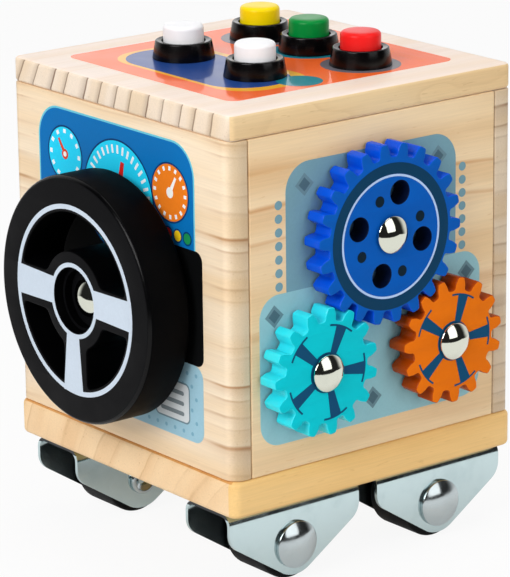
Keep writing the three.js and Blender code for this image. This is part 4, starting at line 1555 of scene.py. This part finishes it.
def sheet_print(name, layers, lay, origin, body, material):
    """Stacks the layers: each is (level, colour code, loops), drawn flat and laid on its face."""
    slabs, inks = [], []
    for level, code, loops in layers:
        loops = [anticlockwise(loops[0])] + [anticlockwise(loop)[::-1] for loop in loops[1:]]
        slab, slab_faces, _ = plate(loops, INK + level * INK_STEP, [0.0] * len(loops), 0)
        slabs.append((slab, slab_faces))
        inks.append(np.tile(colour(code), (len(slab), 1)))
    points, faces = joined(*slabs)
    flat = np.ones(sum(len(part) for part in faces), bool)
    made = piece(name, lay(points) + origin, faces, [material], body, flat=flat)
    ink = made.data.color_attributes.new("ink", "FLOAT_COLOR", "POINT")
    ink.data.foreach_set("color", np.concatenate(inks).astype(np.float32).ravel())
    print(name, len(layers), "shapes,", len(flat), "faces")


def ink_material(name, gloss, shine, coat):
    """Printed ink, coloured by the ink attribute: its roughness, its specular level and its coat."""
    made, tree, shader = new_material(name)
    vector = millimetres(tree)
    dots = noise(tree, vector, (1.3, 1.3), 3.0, 0.7)
    clouds = noise(tree, vector, (0.06, 0.06))
    by_dots = remap(tree, dots, 0.3, 0.7, 0.975, 1.015)
    by_clouds = remap(tree, clouds, 0.3, 0.7, 0.97, 1.02)
    ink = add(tree, "Attribute", out="Color", attribute_name="ink")
    tint = shaded(tree, ink, times(tree, by_dots, by_clouds))
    tree.links.new(tint, shader.inputs["Base Color"])
    roughness = remap(tree, clouds, 0.3, 0.7, gloss - 0.04, gloss + 0.06)
    tree.links.new(roughness, shader.inputs["Roughness"])
    shader.inputs["Specular IOR Level"].default_value = shine
    shader.inputs["Coat Weight"].default_value = coat
    shader.inputs["Coat Roughness"].default_value = COAT_ROUGHNESS
    return made


satin_ink = ink_material("satin print", 0.5, 0.08, 0.0)
gloss_ink = ink_material("gloss print", 0.4, 0.1, 0.4)
print("inks:", satin_ink.name, "and", gloss_ink.name)

# %% [markdown]
# ## Paint on the wheel
# Silver paint marks the inner edge of the rim, the hub and the three spokes. The spokes' bars widen
# a little towards the rim.

# %% Wheel paint
SILVER = "C8D4E1"

wheel_face = np.array([wheel_centre[0], wheel_low[1] + PAINT_DEPTH, wheel_centre[2]])
left_bar = [[-28.2, -3.3], [-11.0, -2.9], [-10.6, 0.0], [-9.7, 5.3], [-28.2, 5.8]]
right_bar = [[28.2, -3.3], [28.2, 5.8], [9.7, 5.3], [10.6, 0.0], [11.0, -2.9]]
lower_bar = [[-3.8, -10.4], [-6.0, -28.2], [3.6, -28.2], [2.15, -10.9], [0.0, -10.6]]
wheel_layers = [(0, SILVER, ring(0, 0, 27.2, 28.65)), (0, SILVER, ring(0, 0, 10.0, 11.3))]
wheel_layers += [(1, SILVER, [np.array(outline)]) for outline in (left_bar, right_bar, lower_bar)]
sheet_print(
    "wheel_paint", wheel_layers, along_minus_y, wheel_face, "steering_wheel", satin_ink
)

# %% [markdown]
# ## Paint on the gears
# The big gear has a dark ring with a thin pale line inside it and four dots, printed a little low. The
# small gears have navy spokes round their bolts, which make their turning easy to see.

# %% Gear paint
DARK_RING, DARK_DOT = "063B5C", "06202E"
NAVY = "0B4A70"
PALE_LINE = "B4CDF0"
PRINT_LOW = -0.7
DOT_COUNT, DOT_CIRCLE, DOT_RADIUS, FIRST_DOT = 4, 11.8, 1.65, 21
SPOKE_COUNT, SPOKE_REACH, SPOKE_WIDTHS = 5, (5.5, 13.9), (2.2, 3.9)
SPOKE_FOOT, SPOKE_FOOT_HALF = (13.75, 14.3), 18
SPOKE_HUB = 6.05

big_layers = [
    (0, DARK_RING, ring(0, PRINT_LOW, 18.5, 21.8)),
    (1, PALE_LINE, ring(0, PRINT_LOW, 17.75, 18.4)),
]
for k in range(DOT_COUNT):
    turn = math.radians(FIRST_DOT + 360 / DOT_COUNT * k)
    x, y = DOT_CIRCLE * math.cos(turn), DOT_CIRCLE * math.sin(turn) + PRINT_LOW
    big_layers.append((0, DARK_DOT, disc(x, y, DOT_RADIUS, 32)))
sheet_print(
    "big_gear_paint", big_layers, along_x, gear_fronts["big_gear"], "big_gear", satin_ink
)
for name, slot, first in (("teal_gear", "gear_teal", 67), ("orange_gear", "gear_orange", 74)):
    layers = [(0, NAVY, disc(0, 0, SPOKE_HUB))]
    for k in range(SPOKE_COUNT):
        degrees = first + 360 / SPOKE_COUNT * k
        start, end = degrees - SPOKE_FOOT_HALF, degrees + SPOKE_FOOT_HALF
        layers.append((1, NAVY, ray(0, 0, math.radians(degrees), *SPOKE_REACH, *SPOKE_WIDTHS)))
        layers.append((2, NAVY, fan(0, 0, *SPOKE_FOOT, start, end)))
    sheet_print(f"{name}_paint", layers, along_x, gear_fronts[name], name, satin_ink)

# %% [markdown]
# ## Print on the front
# Behind the wheel is a dashboard in blue, with plain gauges above, a dark band beside the wheel and a
# pale floor below. The gauges are discs with ticks and a hand, as on any toy dashboard.

# %% Front print: fields and gauges
BLUE, CYAN, DEEP = "066FB6", "24D6FC", "083A6E"
RIM_BLUE, BAND_BLACK, PALE_BLUE = "6CC9DC", "0A0B0C", "9CC4D4"
RED, AMBER, LAMP_GREEN, HAND_RED = "D8261E", "F1C91C", "1C9152", "E0431C"
TICK_WHITE, PIN_WHITE, HAND_WHITE, GAUGE_ORANGE = "F2F8FA", "F4F4F2", "F6F6F2", "F08020"
GAUGE_EDGE = 0.55
TICK_INNER, TICK_OUTER, TICK_FILL = 0.78, 0.93, 1.9
HAND_REACH, HAND_WIDTHS = 0.66, (0.17, 0.1)
HAND_HUB, HAND_PIN = 0.19, 0.1


def gauge(x, y, radius, ticks, face, hand, hand_turn, level=3):
    """A round gauge: dark edge, coloured face, white ticks, and a hand at an angle in degrees. The sizes
    of ticks and hand are shares of its radius."""
    layers = [(level, DEEP, disc(x, y, radius + GAUGE_EDGE, 96))]
    layers.append((level + 1, face, disc(x, y, radius, 96)))
    for k in range(ticks):
        turn, width = 2 * math.pi * k / ticks, TICK_FILL * radius / ticks
        tick = ray(x, y, turn, radius * TICK_INNER, radius * TICK_OUTER, width)
        layers.append((level + 2, TICK_WHITE, tick))
    widths = [share * radius for share in HAND_WIDTHS]
    pointer = ray(x, y, math.radians(hand_turn), 0, HAND_REACH * radius, *widths)
    layers.append((level + 3, hand, pointer))
    layers.append((level + 4, hand, disc(x, y, HAND_HUB * radius, 24)))
    layers.append((level + 5, PIN_WHITE, disc(x, y, HAND_PIN * radius, 24)))
    return layers


front_layers = [
    (0, RIM_BLUE, block(-40.5, 36.1, -60.0, -11.5, 10.2, 12)),
    (1, BLUE, block(-39.9, 35.5, -60.0, -12.1, 9.7, 12)),
    (2, BAND_BLACK, block(-30.0, 39.2, -76.5, -42.2, 3.0)),
    (3, PALE_BLUE, block(-30.0, 38.8, -99.9, -76.5, 4.0)),
]
front_layers += gauge(-27.0, -25.5, 8.2, 12, CYAN, HAND_RED, 125)
front_layers += gauge(-0.5, -33.5, 16.8, 36, CYAN, RED, 78)
front_layers += gauge(24.6, -27.2, 8.4, 16, GAUGE_ORANGE, HAND_WHITE, 60)
print("dashboard so far:", len(front_layers), "shapes")

# %% [markdown]
# Below the gauges are three warning lamps, staggered rows of dots on the floor, and a grey plate with
# three bars.

# %% Front print: lamps, dots and plate
LAMP_Y, LAMP_EDGE, LAMP_RADIUS = -39.3, 2.1, 1.6
DOT_BLUE, PLATE_EDGE, PLATE_FACE, PLATE_BAR = "79A9BF", "6E8894", "D7DCDE", "7C878C"
DOT_ROWS, DOT_COLUMNS, DOT_END, SMALL_DOT = 6, 16, 37.0, 0.62
DOT_X, DOT_Y, DOT_STEP, ROW_STEP = -27.5, -79.6, 4.2, 3.6
BAR_Y, BAR_STEP, BAR_HALF = -86.4, 3.1, 0.65

for x, code in ((23.4, RED), (27.9, AMBER), (32.4, LAMP_GREEN)):
    front_layers.append((3, DEEP, disc(x, LAMP_Y, LAMP_EDGE, 32)))
    front_layers.append((4, code, disc(x, LAMP_Y, LAMP_RADIUS, 32)))
for row in range(DOT_ROWS):
    for column in range(DOT_COLUMNS):
        x = DOT_X + DOT_STEP * column + DOT_STEP / 2 * (row % 2)
        if x < DOT_END:
            front_layers.append((4, DOT_BLUE, disc(x, DOT_Y - ROW_STEP * row, SMALL_DOT, 12)))
front_layers.append((5, PLATE_EDGE, block(15.6, 32.4, -95.4, -83.0, 2.0)))
front_layers.append((6, PLATE_FACE, block(16.1, 31.9, -94.9, -83.5, 1.6)))
for k in range(3):
    y = BAR_Y - BAR_STEP * k
    front_layers.append((7, PLATE_BAR, block(18.4, 29.6, y - BAR_HALF, y + BAR_HALF, 0.64)))
front_origin = np.array([axis_x, front_y, top_z])
sheet_print("front_print", front_layers, along_minus_y, front_origin, "body", satin_ink)

# %% [markdown]
# ## Print on the gear face
# Two rounded plates in grey-teal sit behind the gears. Plain dots run down both sides of the upper
# one, and small squares mark the corners.

# %% Gear face print
UPPER, LOWER, MARK, MARK_EDGE = "78A0AC", "96C4CC", "506C78", "6C8C96"
EDGE_DOTS, EDGE_DOT_Y, EDGE_DOT_STEP, EDGE_DOT_RADIUS = 7, -28.4, 4.0, 1.35
MARK_OUTER, MARK_INNER = 3.4, 2.1

side_layers = [
    (0, UPPER, block(-32.7, 31.5, -62.0, -17.0, 8.5, 12)),
    (1, LOWER, block(-42.6, 41.1, -99.6, -54.5, 7.0, 12)),
]
for k in range(EDGE_DOTS):
    for x in (-35.3, 34.1):
        side_layers.append((0, UPPER, disc(x, EDGE_DOT_Y - EDGE_DOT_STEP * k, EDGE_DOT_RADIUS, 24)))


def mark(x, y, level):
    """A small square standing on its corner, with a darker middle."""
    outer, inner = (arc(x, y, radius, 0, 1.5 * math.pi, 3) for radius in (MARK_OUTER, MARK_INNER))
    return [(level, MARK_EDGE, [outer]), (level + 1, MARK, [inner])]


side_layers += mark(-25.8, -23.8, 1) + mark(24.6, -23.8, 1)
side_layers += mark(-37.2, -60.8, 2) + mark(35.8, -60.8, 2) + mark(-0.6, -92.6, 2)
side_origin = np.array([side_x, axis_y, top_z])
sheet_print("gear_face_print", side_layers, along_x, side_origin, "body", satin_ink)

# %% [markdown]
# ## Print on the top
# A glossy orange field with a wooden margin lies under the buttons, with a blue patch under the white
# ones, yellow bars, and rings round the coloured ones.

# %% Top print
ORANGE, TOP_BLUE, YELLOW, TEAL, GREY = "FC6C2C", "24488F", "F8B634", "147F93", "6F6A72"

top_layers = [
    (0, ORANGE, block(-42.0, 39.0, -41.0, 43.5, 4.0, 10)),
    (1, YELLOW, block(-33.5, 33.5, -33.8, -3.0, 12.0, 12)),
    (2, TOP_BLUE, block(-32.0, 30.0, -32.4, -5.5, 13.0, 16)),
    (3, TEAL, disc(30.6, -9.5, 6.8)),
    (2, GREY, disc(-24.0, 19.2, 12.0)),
    (2, TEAL, disc(0.2, 18.8, 11.6)),
    (2, GREY, disc(25.1, 18.2, 12.0)),
    (2, YELLOW, block(-36.0, 34.0, 34.6, 36.6, 1.0)),
]
top_origin = np.array([axis_x, axis_y, top_z])
sheet_print("top_print", top_layers, along_z, top_origin, "body", gloss_ink)

# %% [markdown]
# ## CAD pieces that stay
# Nuts, washers and the wheel's spacer keep their CAD shape. They only need a finish.

# %% Finishes of the kept nodes
kept = {"washer": steel, "lock_nut": steel, "button_nut": roller_plastic, "spacer": spacer_plastic}
finished = 0
for node_name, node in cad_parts.items():
    for word, material in kept.items():
        if word in node_name and node.material_slots:
            node.material_slots[0].link = "OBJECT"
            node.material_slots[0].material = material
            finished += 1
print("kept CAD nodes with a finish:", finished)

# %% [markdown]
# ## Studio
# The photograph is a plain studio picture on white, but its metal parts mirror more than that: a white
# table, a dark room round it, and a white backdrop on the far side of the toy. So mirror rays meet
# those, while the camera sees white. One group says how bright the room is in a direction.

# %% Node group: studio
BACKDROP_EDGE = (0.1, 0.5)
ROOM_LEVEL, BACKDROP_LEVEL = 0.02, 0.85

studio, given, result = new_group("studio", [("Direction", "Vector", None)], [("Level", "Float")])
away = camera_turn @ Vector((0, 0, -1))
level_away = tuple(Vector((away.x, away.y, 0)).normalized())
inputs = {0: given["Direction"], 1: level_away}
behind = add(studio, "VectorMath", inputs, out="Value", operation="DOT_PRODUCT")
room = remap(studio, behind, *BACKDROP_EDGE, ROOM_LEVEL, BACKDROP_LEVEL)
studio.links.new(room, result["Level"])
print("looking along", [round(v, 2) for v in away])

# %% [markdown]
# A pale floor catches a soft shadow. It glows a little towards the camera, so that it goes to white
# while the toy itself is lit at a plain level. A mirror ray meets the white table, about 0.8 m wide:
# darker close to the toy, which shades it, and the room beyond its edge.

# %% Floor
FLOOR_REACH = 3.0
FLOOR_GLOW = 0.92
TABLE_REACH, TABLE_SOFTNESS = 420, 30
SHADE_REACH, SHADE_LEVEL = (50.0, 110.0), 0.25

reach = FLOOR_REACH
floor_corners = [(-reach, -reach, 0), (reach, -reach, 0), (reach, reach, 0), (-reach, reach, 0)]
floor_mesh = bpy.data.meshes.new("floor")
floor_mesh.from_pydata(floor_corners, [], [(0, 1, 2, 3)])
floor = bpy.data.objects.new("floor", floor_mesh)
bpy.context.collection.objects.link(floor)

floor_material, tree, shader = new_material("white floor")
shader.inputs["Base Color"].default_value = (0.8, 0.8, 0.8, 1)
shader.inputs["Roughness"].default_value = 0.9
spot = millimetres(tree)
direction = add(tree, "VectorMath", {0: spot}, operation="NORMALIZE")
beyond = use_group(tree, studio, {"Direction": direction})["Level"]
from_toy = split(tree, add(tree, "VectorMath", {0: spot}, operation="ABSOLUTE"))
from_toy = larger(tree, from_toy["X"], from_toy["Y"])
path = tree.nodes.new("ShaderNodeLightPath").outputs
mirrored = times(tree, path["Is Glossy Ray"], remap(tree, from_toy, *SHADE_REACH, SHADE_LEVEL, 1.0))
table = remap(tree, from_toy, TABLE_REACH - TABLE_SOFTNESS, TABLE_REACH + TABLE_SOFTNESS, 1.0, 0.0)
strength = between(tree, path["Is Glossy Ray"], 1.0, larger(tree, table, beyond))
seen = larger(tree, path["Is Camera Ray"], path["Is Transmission Ray"])
share = larger(tree, times(tree, seen, FLOOR_GLOW), mirrored)
glow = add(tree, "Emission", {"Color": (1, 1, 1, 1), "Strength": strength})
floor_surface = add(tree, "MixShader", {0: share, 1: shader.outputs[0], 2: glow})
tree.links.new(floor_surface, tree.nodes["Material Output"].inputs["Surface"])
floor_mesh.materials.append(floor_material)
print("floor", 2 * FLOOR_REACH, "m wide")

# %% [markdown]
# The air round the toy is white for the camera, the studio for a mirror ray, and an even soft light for
# everything else.

# %% World
AMBIENT = 0.35

world = bpy.data.worlds.new("studio")
bpy.context.scene.world = world
world.use_nodes = True
tree = world.node_tree
path = tree.nodes.new("ShaderNodeLightPath").outputs
around = use_group(tree, studio, {"Direction": add(tree, "TexCoord", out="Generated")})["Level"]
lit = between(tree, path["Is Glossy Ray"], AMBIENT, around)
seen = larger(tree, path["Is Camera Ray"], path["Is Transmission Ray"])
sky = {"Color": (1, 1, 1, 1), "Strength": between(tree, seen, lit, 1.0)}
fill(tree, tree.nodes["Background"], sky)
print("world:", world.name)

# %% [markdown]
# Four soft boxes light the toy: a strong one in front of the wheel's side, a weaker one on the gears'
# side, one above, and a small one behind that skims over the top.


# %% Lamps
def area_lamp(name, place, target, size, power):
    """A rectangular soft box at a place, looking at a target, all in millimetres."""
    lamp = bpy.data.lights.new(name, "AREA")
    lamp.shape = "RECTANGLE"
    lamp.size, lamp.size_y = size[0] * MM, size[1] * MM
    lamp.energy = power
    made = bpy.data.objects.new(name, lamp)
    place, target = Vector(place), Vector(target)
    turn = (target - place).to_track_quat("-Z", "Y").to_matrix().to_4x4()
    made.matrix_world = Matrix.Translation(place * MM) @ turn
    bpy.context.collection.objects.link(made)


aim, top_aim = (axis_x, axis_y, 80), (axis_x, axis_y, 140)
area_lamp("key_softbox", (330, -1230, 850), aim, (800, 800), 14.2)
area_lamp("side_softbox", (1200, 260, 690), aim, (850, 1150), 5.0)
area_lamp("top_softbox", (0, 100, 1400), aim, (700, 700), 4.4)
area_lamp("back_softbox", (-1000, 626, 350), top_aim, (420, 260), 0.3)
